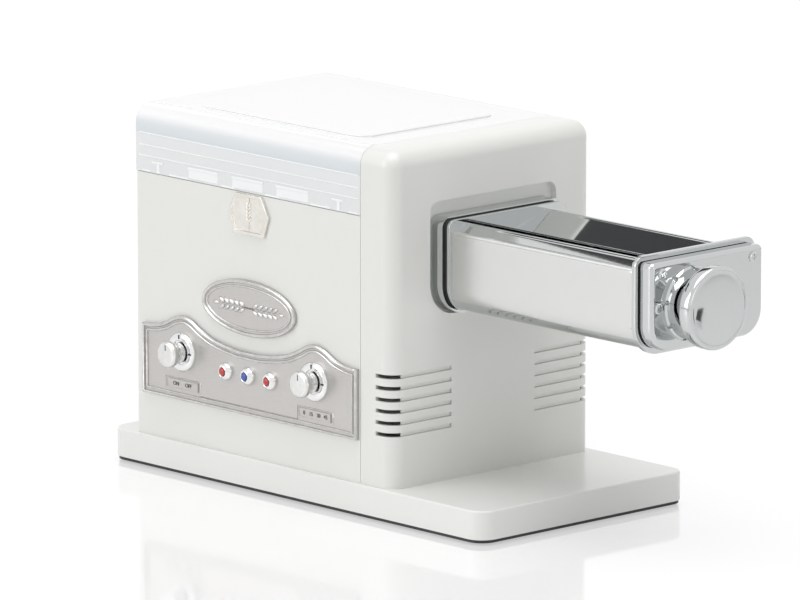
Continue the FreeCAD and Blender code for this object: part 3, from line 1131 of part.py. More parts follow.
def make_regulator():
    """Through rod with a cam at each end, the dial ring, the knob, its spring and retaining screw."""
    end = s.knob_left + s.regulator_length * 0.62
    shaft = cylinder_x(s.rod_left, 0, 0, s.rod_radius, end - s.rod_left)
    half = s.block_thickness / 2
    cams = Part.makeCompound([cam(s.block_left + 0.2), cam(s.right_block_left + half + 0.3)])
    keep(solid("cam_pair", cams, 0, s.rod_y, s.drive_z), "regulator_cams")
    washer = cylinder_x(end - 2, 0, 0, 6.4, 2)
    keep(solid("rod_shape", shaft.fuse(washer), 0, s.rod_y, s.drive_z), "regulator_rod")
    spring_left = s.knob_left + 3
    sleeve = cylinder_x(spring_left, 0, 0, 5.6, end - 2 - spring_left).cut(
        cylinder_x(spring_left - 1, 0, 0, 4.4, end + 2 - spring_left))
    keep(solid("pull_spring", sleeve, 0, s.rod_y, s.drive_z), "regulator_spring")
    ring = turned("dial_ring_body", "X", [
        ("0", "regulator_neck + 0.8"), ("ring_thickness * 0.8", "regulator_neck + 0.8"),
        ("ring_thickness", "regulator_neck + 1.6"), ("ring_thickness", "regulator_ring - 1"),
        ("ring_thickness * 0.6", "regulator_ring"), ("0", "regulator_ring")], "cover_right", "rod_y", "drive_z")
    notch = new_sketch(ring, "YZ_Plane")
    draw_circle(notch, 0, "regulator_ring - 1", 1.3)
    hole = bore(ring, notch)
    spread = ring.newObject("PartDesign::PolarPattern", "notches")
    spread.Originals = [hole]
    spread.Axis = (next(i for i in ring.Origin.OriginFeatures if i.Role == "X_Axis"), [""])
    bind(spread, Angle="regulator_range * (1 + 1 / (regulator_steps - 1))", Occurrences="regulator_steps")
    ring.Tip = spread
    keep(ring, "regulator_dial")
    inner_end = "regulator_length * 0.62 + pull_travel"
    knob = turned("regulator_knob_body", "X", [
        ("0", "rod_radius + run_gap"), ("0", "regulator_neck"), ("ring_thickness", "regulator_neck"),
        ("regulator_length * 0.2", "regulator_neck + 1"), ("regulator_length * 0.4", "regulator_skirt"),
        ("regulator_length * 0.46", "regulator_skirt"), ("regulator_length * 0.5", "regulator_radius - 1.4"),
        ("regulator_length * 0.55", "regulator_radius"), ("regulator_length * 0.88", "regulator_radius"),
        ("regulator_length * 0.97", "regulator_radius - 0.9"), ("regulator_length", "regulator_radius - 2.6"),
        ("regulator_length - 0.3", "0"), (inner_end, "0"), (inner_end, "7"), ("3", "7"),
        ("3", "rod_radius + run_gap")], "knob_left", "rod_y", "drive_z")
    keep(knob, "regulator_knob")


def check_and_write():
    """Stop on any failed object, then write each sub-part to its own file."""
    doc.recompute()
    for item in doc.Objects:
        if "Invalid" in item.State or "Error" in item.State:
            raise RuntimeError(f"{item.Label} failed: {item.State}")
    labels = [item.Label for item in SUBPARTS]
    if len(set(labels)) != len(labels):
        raise RuntimeError("two sub-parts share a name")
    for item in SUBPARTS:
        if item.Shape.isNull() or not item.Shape.isValid() or not item.Shape.Solids:
            raise RuntimeError(f"{item.Label} has no valid solid")
    os.makedirs("parts", exist_ok=True)
    for item in SUBPARTS:
        item.Shape.exportStep(f"parts/{item.Label}.step")
        bounds = item.Shape.BoundBox
        print(f"{item.Label:22s} solids {len(item.Shape.Solids)} volume {item.Shape.Volume / 1000:8.2f} cm3 "
              f"x {bounds.XMin:.1f} to {bounds.XMax:.1f} y {bounds.YMin:.1f} to {bounds.YMax:.1f} "
              f"z {bounds.ZMin:.1f} to {bounds.ZMax:.1f}")
    print(len(SUBPARTS), "sub-parts")


make_base()
make_right_casing()
make_panels()
make_lid()
make_tub()
make_drive()
make_control_plate()
make_plaques()
make_knobs()
make_buttons()
make_head_frame()
make_rollers()
check_and_write()
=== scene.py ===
"""Dressed model of an electric pasta maker: a boxed dough mixer with a sheet roller at its right side."""

import json
import logging
import math
from dataclasses import dataclass, field
from enum import Enum
from typing import Sequence

import bpy
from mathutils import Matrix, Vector


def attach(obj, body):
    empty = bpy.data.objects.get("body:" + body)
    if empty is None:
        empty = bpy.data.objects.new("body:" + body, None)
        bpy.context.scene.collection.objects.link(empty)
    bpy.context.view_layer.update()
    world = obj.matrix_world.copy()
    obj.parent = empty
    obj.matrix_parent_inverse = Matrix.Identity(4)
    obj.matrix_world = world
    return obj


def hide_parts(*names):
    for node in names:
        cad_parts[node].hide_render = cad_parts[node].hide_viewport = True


LOG = logging.getLogger("pasta_maker")
MM = 0.001
FRONT = -80.0  # front face of the housing, in millimetres
SHARP = 30.0  # edges over this angle stay sharp on a CAD skin, in degrees
FLUTES = 80  # sides of a knob's fluted collar

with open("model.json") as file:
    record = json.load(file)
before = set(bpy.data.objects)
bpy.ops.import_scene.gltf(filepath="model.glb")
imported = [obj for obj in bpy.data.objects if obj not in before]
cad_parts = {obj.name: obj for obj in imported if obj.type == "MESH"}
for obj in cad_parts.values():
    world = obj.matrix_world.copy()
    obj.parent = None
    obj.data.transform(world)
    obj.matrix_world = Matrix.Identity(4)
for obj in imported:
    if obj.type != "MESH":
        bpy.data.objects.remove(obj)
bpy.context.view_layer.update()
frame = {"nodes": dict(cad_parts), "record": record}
RECORD = frame["record"]
BODY_OF = {node: body for body, nodes in RECORD["behaviour"]["bodies"].items() for node in nodes}


# Turned profiles: pairs of place along the axis and radius, in millimetres

DIAL_RING = ((0, 3.4), (0, 11.8), (1.4, 11.75), (2.4, 11.3), (3.1, 10.5), (3.4, 9.6), (3.4, 7.6),
             (3.0, 7.0), (2.4, 6.9), (2.4, 3.4))
KNOB = ((0, 3.0), (0, 6.2), (5.2, 6.2), (5.4, 6.9), (6.0, 7.5), (6.8, 7.8), (8.6, 7.8), (9.6, 7.5),
        (10.2, 6.9), (10.4, 6.2), (10.35, 3.0))
KNOB_COLLAR = ((0.1, 6.35), (5.15, 6.35))
KNOB_STEM = ((0, 3.0), (15.3, 3.0))
BEZEL = ((0, 2.7), (0, 5.6), (1.0, 5.55), (2.1, 5.1), (3.1, 4.4), (3.8, 3.5), (4.0, 3.0), (3.8, 2.7))
BUTTON = ((0, 2.45), (8.2, 2.45), (8.9, 2.2), (9.25, 1.6), (9.4, 0.8))
SCREW_HEAD = ((0, 3.1), (0.7, 3.1), (1.15, 2.6), (1.35, 1.7), (1.35, 1.3))
REGULATOR_KNOB = ((0, 13.2), (0, 13.9), (4.0, 14.0), (7.5, 15.2), (10.0, 18.6), (11.6, 19.8), (12.6, 20.0),
                  (13.0, 21.6), (13.5, 22.9), (14.4, 23.7), (15.8, 23.9), (20.1, 23.9), (21.1, 23.7),
                  (21.9, 23.1), (22.3, 22.2), (22.25, 21.4), (21.95, 20.6), (22.2, 19.4), (22.5, 15.0),
                  (22.7, 8.0), (22.78, 2.0))


# Finishes

def fresh_material(name: str) -> tuple[bpy.types.Material, bpy.types.Node]:
    """Start a node material.

    Args:
        name: The material's name.

    Returns:
        The material and its principled shader.
    """
    material = bpy.data.materials.new(name)
    material.use_nodes = True
    return material, material.node_tree.nodes["Principled BSDF"]


def add_node(material: bpy.types.Material, kind: str, **values: object) -> bpy.types.Node:
    """Add a shader node.

    Args:
        material: The material that gets it.
        kind: The node's type name.
        values: Values of its inputs by name, or of its properties.

    Returns:
        The new node.
    """
    node = material.node_tree.nodes.new(kind)
    for key, value in values.items():
        title = key.replace("_", " ").title()
        if title in node.inputs:
            node.inputs[title].default_value = value
        else:
            setattr(node, key, value)
    return node


def join(material: bpy.types.Material, start: bpy.types.NodeSocket, end: bpy.types.NodeSocket) -> None:
    """Link two sockets of a material."""
    material.node_tree.links.new(start, end)


def object_grain(material: bpy.types.Material, scale: tuple[float, float, float]) -> bpy.types.NodeSocket:
    """Object coordinates stretched by a mapping, so that grain can run along one axis.

    Args:
        material: The material that gets the nodes.
        scale: Stretch along each axis.

    Returns:
        The socket with the coordinates.
    """
    place = add_node(material, "ShaderNodeTexCoord")
    mapping = add_node(material, "ShaderNodeMapping")
    mapping.inputs["Scale"].default_value = scale
    join(material, place.outputs["Object"], mapping.inputs["Vector"])
    return mapping.outputs["Vector"]


def noise_ramp(material: bpy.types.Material, place: bpy.types.NodeSocket, scale: float, detail: float,
               low: float, high: float) -> bpy.types.NodeSocket:
    """Noise spread between two values.

    Args:
        material: The material that gets the nodes.
        place: Coordinates that the noise reads.
        scale: The noise's scale per metre.
        detail: The noise's octaves.
        low: Value at the noise's low end.
        high: Value at the noise's high end.

    Returns:
        The socket with the spread value.
    """
    noise = add_node(material, "ShaderNodeTexNoise", scale=scale, detail=detail, roughness=0.55)
    join(material, place, noise.inputs["Vector"])
    spread = add_node(material, "ShaderNodeMapRange", from_min=0.3, from_max=0.7, to_min=low, to_max=high)
    join(material, noise.outputs["Fac"], spread.inputs["Value"])
    return spread.outputs["Result"]


def tinted(material: bpy.types.Material, factor: bpy.types.NodeSocket, colours: Sequence[Sequence[float]],
           shader: bpy.types.Node) -> None:
    """Drive a shader's colour between two shades by a factor.

    Args:
        material: The material that gets the nodes.
        factor: Value from 0 to 1.
        colours: The two shades.
        shader: The shader whose colour is driven.
    """
    ramp = add_node(material, "ShaderNodeValToRGB")
    for stop, colour in zip(ramp.color_ramp.elements, colours):
        stop.color = (*colour, 1.0)
    join(material, factor, ramp.inputs["Fac"])
    join(material, ramp.outputs["Color"], shader.inputs["Base Color"])


def bumped(material: bpy.types.Material, place: bpy.types.NodeSocket, scale: float, detail: float,
           depth: float, shader: bpy.types.Node) -> None:
    """Roughen a shader's surface by noise.

    Args:
        material: The material that gets the nodes.
        place: Coordinates that the noise reads.
        scale: The noise's scale per metre.
        detail: The noise's octaves.
        depth: Depth of the relief in metres.
        shader: The shader whose normal is driven.
    """
    noise = add_node(material, "ShaderNodeTexNoise", scale=scale, detail=detail)
    join(material, place, noise.inputs["Vector"])
    bump = add_node(material, "ShaderNodeBump", strength=1.0, distance=depth)
    join(material, noise.outputs["Fac"], bump.inputs["Height"])
    join(material, bump.outputs["Normal"], shader.inputs["Normal"])


@dataclass(frozen=True)
class Moulded:
    """Moulded or painted plastic with a faint orange-peel surface.

    Args:
        name: The material's name.
        light: The lighter shade.
        dark: The shade of its slight clouding.
        roughness: Mean roughness.
        coat: Weight of the clear gloss over it.
        peel: Depth of the orange peel in metres.
        peel_scale: Orange-peel cells per metre.
    """

    name: str
    light: tuple[float, float, float]
    dark: tuple[float, float, float]
    roughness: float = 0.3
    coat: float = 0.0
    peel: float = 0.000004
    peel_scale: float = 900.0

    def build(self) -> bpy.types.Material:
        """Make the material."""
        material, shader = fresh_material(self.name)
        place = object_grain(material, (1.0, 1.0, 1.0))
        tinted(material, noise_ramp(material, place, 9.0, 3.0, 0.0, 1.0), (self.dark, self.light), shader)
        rough = noise_ramp(material, place, 25.0, 1.0, self.roughness * 0.95, self.roughness * 1.05)
        join(material, rough, shader.inputs["Roughness"])
        shader.inputs["Coat Weight"].default_value = self.coat
        shader.inputs["Coat Roughness"].default_value = 0.12
        bumped(material, place, self.peel_scale, 2.0, self.peel, shader)
        return material


@dataclass(frozen=True)
class Clear:
    """Clear moulded plastic coloured by height, with a painted bluish shade band above its upper ridge and a
    painted highlight whitening towards its rounded top edge.

    Args:
        name: The material's name.
        painted_light_bands: Pairs of height in metres and colour, from the foot to the top; they paint a shade
            band and a highlight into the colour.
        roughness: Mean roughness.
        through: Transmission weight.
        cover: How much of the surface covers what lies behind it.
    """

    name: str
    # Colour by height: the bluish band from 200 to 206 mm is painted shade, and the white from 211 mm up is a
    # painted highlight along the rounded top edge.
    painted_light_bands: tuple[tuple[float, tuple[float, float, float]], ...] = (
        (0.1770, (0.90, 0.915, 0.92)), (0.1930, (0.90, 0.915, 0.92)),
        (0.2000, (0.90, 0.92, 0.93)), (0.2004, (0.78, 0.83, 0.86)), (0.2060, (0.84, 0.88, 0.91)),
        (0.2110, (0.99, 0.99, 1.00)), (0.2175, (1.0, 1.0, 1.0)))
    roughness: float = 0.07
    through: float = 0.05
    cover: float = 0.9

    def build(self) -> bpy.types.Material:
        """Make the material."""
        material, shader = fresh_material(self.name)
        place = object_grain(material, (1.0, 1.0, 1.0))
        split = add_node(material, "ShaderNodeSeparateXYZ")
        join(material, place, split.inputs["Vector"])
        low, high = self.painted_light_bands[0][0], self.painted_light_bands[-1][0]
        span = add_node(material, "ShaderNodeMapRange", from_min=low, from_max=high)
        join(material, split.outputs["Z"], span.inputs["Value"])
        # Ramp by object height that paints the shade band and the highlight into the base colour.
        ramp = add_node(material, "ShaderNodeValToRGB")
        stops = ramp.color_ramp.elements
        for k, (height, tint) in enumerate(self.painted_light_bands):
            share = (height - low) / (high - low)
            stop = stops[k] if k < 2 else stops.new(share)
            stop.position = share
            stop.color = (*tint, 1.0)
        join(material, span.outputs["Result"], ramp.inputs["Fac"])
        join(material, ramp.outputs["Color"], shader.inputs["Base Color"])
        shader.inputs["Transmission Weight"].default_value = self.through
        shader.inputs["IOR"].default_value = 1.49
        shader.inputs["Alpha"].default_value = self.cover
        rough = noise_ramp(material, place, 40.0, 2.0, self.roughness * 0.7, self.roughness * 1.3)
        join(material, rough, shader.inputs["Roughness"])
        bumped(material, place, 55.0, 1.0, 0.00001, shader)
        return material


@dataclass(frozen=True)
class Metal:
    """Metal with grain along one axis.

    Args:
        name: The material's name.
        light: The lighter shade.
        dark: The darker shade of its grain.
        roughness: Mean roughness.
        grain: Stretch of the grain along each axis.
        depth: Depth of the grain in metres.
        spread: Share by which the roughness varies.
    """

    name: str
    light: tuple[float, float, float]
    dark: tuple[float, float, float]
    roughness: float = 0.2
    grain: tuple[float, float, float] = (1.0, 1.0, 1.0)
    depth: float = 0.000002
    spread: float = 0.3

    def build(self) -> bpy.types.Material:
        """Make the material."""
        material, shader = fresh_material(self.name)
        shader.inputs["Metallic"].default_value = 1.0
        place = object_grain(material, self.grain)
        tinted(material, noise_ramp(material, place, 220.0, 4.0, 0.0, 1.0), (self.dark, self.light), shader)
        rough = noise_ramp(material, place, 300.0, 3.0, self.roughness * (1 - self.spread),
                           self.roughness * (1 + self.spread))
        join(material, rough, shader.inputs["Roughness"])
        bumped(material, place, 420.0, 3.0, self.depth, shader)
        return material


class Skin(Enum):
    """Finishes of the pasta maker."""

    WHITE = Moulded("white_gloss", (0.800, 0.805, 0.775), (0.796, 0.801, 0.771), 0.3, 0.2, 0.0000003)
    BOARD = Moulded("white_board", (0.835, 0.835, 0.815), (0.828, 0.828, 0.808), 0.26, 0.25, 0.0000003)
    TUB = Moulded("tub_white", (0.82, 0.82, 0.81), (0.81, 0.81, 0.80), 0.4)
    # Near-white opaque finish for the clear lid's ridges and bars: painted highlight for the light that the
    # clear plastic catches there.
    FROST = Moulded("lid_ridge_highlight", (0.92, 0.93, 0.94), (0.90, 0.91, 0.92), 0.25, 0.3, 0.000001)
    CREAM = Moulded("gear_cream", (0.72, 0.70, 0.62), (0.66, 0.64, 0.56), 0.45)
    BLACK = Moulded("black_plastic", (0.022, 0.022, 0.024), (0.016, 0.016, 0.018), 0.45)
    RUBBER = Moulded("black_rubber", (0.012, 0.012, 0.013), (0.02, 0.02, 0.021), 0.75, 0.0, 0.00001, 2500.0)
    GREEN = Moulded("board_green", (0.05, 0.20, 0.10), (0.03, 0.13, 0.07), 0.4, 0.2)
    RED = Moulded("button_red", (0.55, 0.035, 0.025), (0.45, 0.025, 0.02), 0.25, 0.6)
    BLUE = Moulded("button_blue", (0.03, 0.10, 0.42), (0.02, 0.07, 0.34), 0.25, 0.6)
    CLEAR = Clear("clear_lid")
    PEWTER = Metal("pewter_satin", (0.53, 0.515, 0.50), (0.50, 0.485, 0.47), 0.42, (1.0, 1.0, 14.0), 0.000001)
    BEAD = Metal("pewter_polished", (0.64, 0.63, 0.62), (0.52, 0.51, 0.50), 0.2)
    BADGE = Metal("badge_silver", (0.82, 0.80, 0.76), (0.74, 0.71, 0.66), 0.2)
    CHROME = Metal("chrome_sheet", (0.59, 0.605, 0.605), (0.58, 0.595, 0.595), 0.05, (1.0, 1.0, 1.0), 0.0000002)
    SIDES = Metal("chrome_sides", (0.65, 0.655, 0.645), (0.64, 0.645, 0.635), 0.24, (1.0, 1.0, 1.0),
                  0.0000001, 0.05)
    TRIM = Metal("chrome_trim", (0.84, 0.84, 0.84), (0.78, 0.78, 0.78), 0.1)
    SATIN = Metal("satin_knob", (0.78, 0.78, 0.775), (0.70, 0.70, 0.69), 0.22)
    ROLLER = Metal("roller_metal", (0.78, 0.78, 0.79), (0.70, 0.70, 0.71), 0.24, (0.4, 8.0, 8.0))
    STEEL = Metal("screw_steel", (0.62, 0.62, 0.63), (0.50, 0.50, 0.51), 0.28)


MADE: dict[Skin, bpy.types.Material] = {}


def finish_of(skin: Skin) -> bpy.types.Material:
    """The finish's material, made the first time that it is asked for."""
    if skin not in MADE:
        MADE[skin] = skin.value.build()
    return MADE[skin]


# Bench: the operators that every piece is made with

def put_down() -> None:
    """Leave edit mode and deselect everything."""
    if bpy.context.object and bpy.context.object.mode != "OBJECT":
        bpy.ops.object.mode_set(mode="OBJECT")
    bpy.ops.object.select_all(action="DESELECT")


def pick_up(piece: bpy.types.Object) -> None:
    """Make a piece the only selected and the active object."""
    put_down()
    piece.select_set(True)
    bpy.context.view_layer.objects.active = piece


def settle(piece: bpy.types.Object) -> None:
    """Apply an object's place, turn and scale to its mesh."""
    pick_up(piece)
    bpy.ops.object.transform_apply(location=True, rotation=True, scale=True)


def outward() -> None:
    """Merge doubles and point all faces outwards, in edit mode."""
    bpy.ops.mesh.select_all(action="SELECT")
    bpy.ops.mesh.remove_doubles(threshold=1e-6)
    bpy.ops.mesh.normals_make_consistent(inside=False)


def apply_modifier(piece: bpy.types.Object, kind: str, **values: object) -> None:
    """Add a modifier to a piece and apply it.

    Args:
        piece: The piece.
        kind: The modifier's type.
        values: Its settings.
    """
    pick_up(piece)
    modifier = piece.modifiers.new(kind.lower(), kind)
    for key, value in values.items():
        setattr(modifier, key, value)
    bpy.ops.object.modifier_apply(modifier=modifier.name)


def smooth(piece: bpy.types.Object, angle: float = 35.0) -> None:
    """Shade a piece smooth up to an angle, with flat faces kept flat."""
    pick_up(piece)
    bpy.ops.object.shade_smooth_by_angle(angle=math.radians(angle))
    apply_modifier(piece, "WEIGHTED_NORMAL", keep_sharp=True, weight=80)


def bevelled(piece: bpy.types.Object, width: float) -> None:
    """Round a piece's sharp edges to a width in metres."""
    apply_modifier(piece, "BEVEL", width=width, segments=2, limit_method="ANGLE", angle_limit=math.radians(40))


def finished(piece: bpy.types.Object, name: str, skin: Skin, body: str,
             replaced: Sequence[str] = ()) -> bpy.types.Object:
    """Name, paint and attach a piece.

    Args:
        piece: The piece.
        name: Its name.
        skin: Its finish.
        body: The body that it rides on.
        replaced: The CAD nodes that it stands for.

    Returns:
        The piece.
    """
    settle(piece)
    piece.name = name
    piece.data.name = name
    piece.data.materials.clear()
    piece.data.materials.append(finish_of(skin))
    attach(piece, body)
    if replaced:
        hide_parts(*replaced)
    LOG.info("%s rides on %s", name, body)
    return piece


def refined(node: str, skin: Skin, bevel: float = 0.0) -> bpy.types.Object:
    """Merged and smoothed copy of a CAD node that stands for it.

    Args:
        node: The CAD node.
        skin: The finish.
        bevel: Width of the rounding of its sharp edges, in metres.

    Returns:
        The piece.
    """
    piece = bpy.data.objects.new(node + "_skin", frame["nodes"][node].data.copy())
    bpy.context.collection.objects.link(piece)
    pick_up(piece)
    bpy.ops.object.mode_set(mode="EDIT")
    bpy.ops.mesh.select_all(action="SELECT")
    bpy.ops.mesh.remove_doubles(threshold=2e-6)
    if bevel:
        bpy.ops.mesh.dissolve_limited(angle_limit=math.radians(0.6))
    bpy.ops.object.mode_set(mode="OBJECT")
    if bevel:
        bevelled(piece, bevel)
    smooth(piece, SHARP)
    return finished(piece, node + "_skin", skin, BODY_OF[node], [node])


def painted(skin: Skin, *nodes: str) -> None:
    """Give CAD nodes that are shown as they are a finish."""
    for node in nodes:
        data = frame["nodes"][node].data
        data.materials.clear()
        data.materials.append(finish_of(skin))


AXIS_TURN = {"X": (0.0, math.pi / 2, 0.0), "Y": (math.pi / 2, 0.0, 0.0), "Z": (0.0, 0.0, 0.0)}


def turned(axis: str, centre: Sequence[float], profile: Sequence[tuple[float, float]], count: int = 96,
           closed: bool = False) -> bpy.types.Object:
    """Piece turned on a lathe: rings extruded one from another, then laid along its axis.

    Args:
        axis: X for a profile that runs towards +X, Y for one towards -Y, Z for one towards +Z.
        centre: Where the profile's zero lies, in metres.
        profile: Pairs of place along the axis and radius, in millimetres.
        count: Sides of each ring.
        closed: Whether the last ring joins the first, so that the piece is a ring itself.

    Returns:
        The piece, at its place.
    """
    put_down()
    start, radius = profile[0]
    bpy.ops.mesh.primitive_circle_add(vertices=count, radius=radius * MM, fill_type="NOTHING",
                                      location=(0, 0, start * MM))
    piece = bpy.context.object
    settle(piece)
    bpy.ops.object.mode_set(mode="EDIT")
    bpy.ops.mesh.select_all(action="SELECT")
    if not closed:
        bpy.ops.mesh.edge_face_add()
    bpy.ops.mesh.select_mode(type="EDGE")
    bpy.ops.mesh.select_all(action="SELECT")
    rings = [*profile, profile[0]] if closed else list(profile)
    for (place, size), (along, radius) in zip(rings, rings[1:]):
        bpy.ops.mesh.extrude_edges_move(TRANSFORM_OT_translate={"value": (0, 0, (along - place) * MM)})
        scale = radius / size
        bpy.ops.transform.resize(value=(scale, scale, 1), center_override=(0, 0, along * MM))
    if not closed:
        bpy.ops.mesh.edge_face_add()
    outward()
    bpy.ops.object.mode_set(mode="OBJECT")
    piece.rotation_euler = AXIS_TURN[axis]
    piece.location = centre
    settle(piece)
    return piece


def drawn(points: Sequence[tuple[float, float]], depth: float, bevel: float, y: float) -> bpy.types.Object:
    """Plate cut to an outline in the XZ plane, with rounded edges, its back at a place in Y.

    Args:
        points: Corners of the outline, in millimetres.
        depth: Thickness, in millimetres, towards the viewer at the front.
        bevel: Radius of the rounded edge, in millimetres.
        y: The back face's place, in millimetres.

    Returns:
        The plate.
    """
    put_down()
    bpy.ops.mesh.primitive_circle_add(vertices=len(points), radius=1.0, fill_type="NGON")
    piece = bpy.context.object
    for vertex, (x, z) in zip(piece.data.vertices, points):
        vertex.co = (x * MM, y * MM, z * MM)
    pick_up(piece)
    bpy.ops.object.mode_set(mode="EDIT")
    bpy.ops.mesh.select_all(action="SELECT")
    bpy.ops.mesh.extrude_region_move(TRANSFORM_OT_translate={"value": (0, -depth * MM, 0)})
    outward()
    bpy.ops.object.mode_set(mode="OBJECT")
    select_front_edges(piece, -depth * MM + y * MM)
    bpy.ops.mesh.bevel(offset=bevel * MM, segments=3, affect="EDGES")
    bpy.ops.object.mode_set(mode="OBJECT")
    return piece


def select_front_edges(piece: bpy.types.Object, y: float) -> None:
    """Select the edges that lie in a plane across Y, in edit mode."""
    pick_up(piece)
    bpy.ops.object.mode_set(mode="EDIT")
    bpy.ops.mesh.select_mode(type="EDGE")
    bpy.ops.mesh.select_all(action="DESELECT")
    bpy.ops.object.mode_set(mode="OBJECT")
    for edge in piece.data.edges:
        ends = [piece.data.vertices[i].co.y for i in edge.vertices]
        edge.select = all(abs(end - y) < 1e-6 for end in ends)
    bpy.ops.object.mode_set(mode="EDIT")


def swept(points: Sequence[Sequence[float]], radius: float, closed: bool = True,
          sides: int = 4) -> bpy.types.Object:
    """Round bead that follows a line of points.

    Args:
        points: The line, in millimetres.
        radius: The bead's radius, in millimetres.
        closed: Whether the line is a loop.
        sides: Bevel resolution of the curve.

    Returns:
        The bead as a mesh.
    """
    put_down()
    bpy.ops.curve.primitive_nurbs_path_add()
    curve = bpy.context.object
    data = curve.data
    data.splines.clear()
    line = data.splines.new("POLY")
    line.points.add(len(points) - 1)
    for target, point in zip(line.points, points):
        target.co = (*(c * MM for c in point), 1.0)
    line.use_cyclic_u = closed
    data.dimensions = "3D"
    data.bevel_depth = radius * MM
    data.bevel_resolution = sides
    data.use_fill_caps = not closed
    settle(curve)
    bpy.ops.object.convert(target="MESH")
    return bpy.context.object


def joined(pieces: Sequence[bpy.types.Object]) -> bpy.types.Object:
    """Join pieces into the first."""
    put_down()
    for piece in pieces:
        piece.select_set(True)
    bpy.context.view_layer.objects.active = pieces[0]
    bpy.ops.object.join()
    return bpy.context.object


def block(low: Sequence[float], high: Sequence[float], bevel: float,
          segments: int = 2) -> bpy.types.Object:
    """Box with rounded edges between two corners, in millimetres."""
    put_down()
    centre = [(a + b) / 2 * MM for a, b in zip(low, high)]
    bpy.ops.mesh.primitive_cube_add(size=1.0, location=centre)
    piece = bpy.context.object
    piece.scale = [(b - a) * MM for a, b in zip(low, high)]
    settle(piece)
    bpy.ops.object.mode_set(mode="EDIT")
    bpy.ops.mesh.select_all(action="SELECT")
    if bevel:
        bpy.ops.mesh.bevel(offset=bevel * MM, segments=segments, affect="EDGES")
    bpy.ops.object.mode_set(mode="OBJECT")
    return piece


def grain_ear(centre: Sequence[float], length: float, tilt: float) -> list[bpy.types.Object]:
    """Ear of wheat in relief: a stem with pairs of grains and one at the tip, in the XZ plane.

    Args:
        centre: Middle of the ear, in millimetres.
        length: Its length, in millimetres.
        tilt: Its angle from +X, in degrees.

    Returns:
        The grains and the stem.
    """
    parts = []
    pairs, pitch, offset, size, lean = 5, 0.13, 0.062, 0.085, math.radians(28)
    turn = math.radians(tilt)
    for k in range(pairs + 1):
        x = length * (0.5 - pitch * (pairs - k) - 0.02) if k < pairs else length * 0.5
        for side in ((-1, 1) if k < pairs else (0,)):
            put_down()
            z = side * length * offset
            place = (x * math.cos(turn) - z * math.sin(turn), x * math.sin(turn) + z * math.cos(turn))
            bpy.ops.mesh.primitive_uv_sphere_add(segments=16, ring_count=10, radius=length * size * MM,
                                                 location=(0, 0, 0))
            grain = bpy.context.object
            grain.scale = (1.0, 0.32, 0.42)
            settle(grain)
            grain.rotation_euler = (0, -(turn + side * lean), 0)
            grain.location = ((centre[0] + place[0]) * MM, centre[1] * MM, (centre[2] + place[1]) * MM)
            settle(grain)
            parts.append(grain)
    line = [(centre[0] + x * math.cos(turn), centre[1], centre[2] + x * math.sin(turn))
            for x in (-0.5 * length, 0.46 * length)]
    parts.append(swept(line, length * 0.013, closed=False, sides=3))
    return parts


# Sub-assemblies

@dataclass
class Board:
    """Board, its dark tray, feet and screws."""

    edge: float = 0.4

    def make(self) -> None:
        """Dress the board."""
        refined("base_slab", Skin.BOARD, self.edge * MM)
        refined("base_tray", Skin.BLACK)
        refined("rubber_feet", Skin.RUBBER, self.edge * MM)
        painted(Skin.STEEL, "casing_screws")


@dataclass
class Housing:
    """White casings with their vents, inner frame, tub and drive."""

    edge: float = 0.35
    end_face: float = 82.5
    vent_low: float = 50.4
    vent_pitch: float = 6.8
    vent_height: float = 2.4
    vent_count: int = 6
    vent_spans: tuple[tuple[float, float], ...] = ((-71.5, -33.05), (33.05, 71.5))
    vent_depth: float = 1.3

    def make_vent_louvres(self) -> None:
        """White strips that close the vent slots a little below the end face."""
        strips = []
        thickness, play = 1.2, 0.02
        outer = self.end_face - self.vent_depth
        for near, far in self.vent_spans:
            for k in range(self.vent_count):
                low = self.vent_low + k * self.vent_pitch
                strips.append(block((outer - thickness, near, low + play),
                                    (outer, far, low + self.vent_height - play), 0.2, 1))
        piece = joined(strips)
        smooth(piece, 40)
        finished(piece, "vent_louvres", Skin.WHITE, "housing")

    def make(self) -> None:
        """Dress the casings and what they hold."""
        self.make_vent_louvres()
        for node in ("front_casing", "rear_casing", "left_end_casing", "right_end_casing"):
            refined(node, Skin.WHITE, self.edge * MM)
        refined("inner_frame", Skin.WHITE)
        refined("mixing_tub", Skin.TUB, self.edge * MM)
        refined("kneader_blade", Skin.TUB)
        refined("output_gear", Skin.CREAM)
        refined("intermediate_gear", Skin.CREAM)
        refined("motor_housing", Skin.STEEL, 0.5 * MM)
        refined("mains_inlet", Skin.BLACK, 0.3 * MM)
        refined("drive_socket", Skin.BLACK, 0.2 * MM)
        painted(Skin.BLACK, "shaft_bushes", "cooling_fan", "rotary_switches", "push_switches")
        painted(Skin.STEEL, "hinge_pins", "motor_pinion", "idler_pin", "kneader_shaft", "motor_armature")
        painted(Skin.GREEN, "control_board")


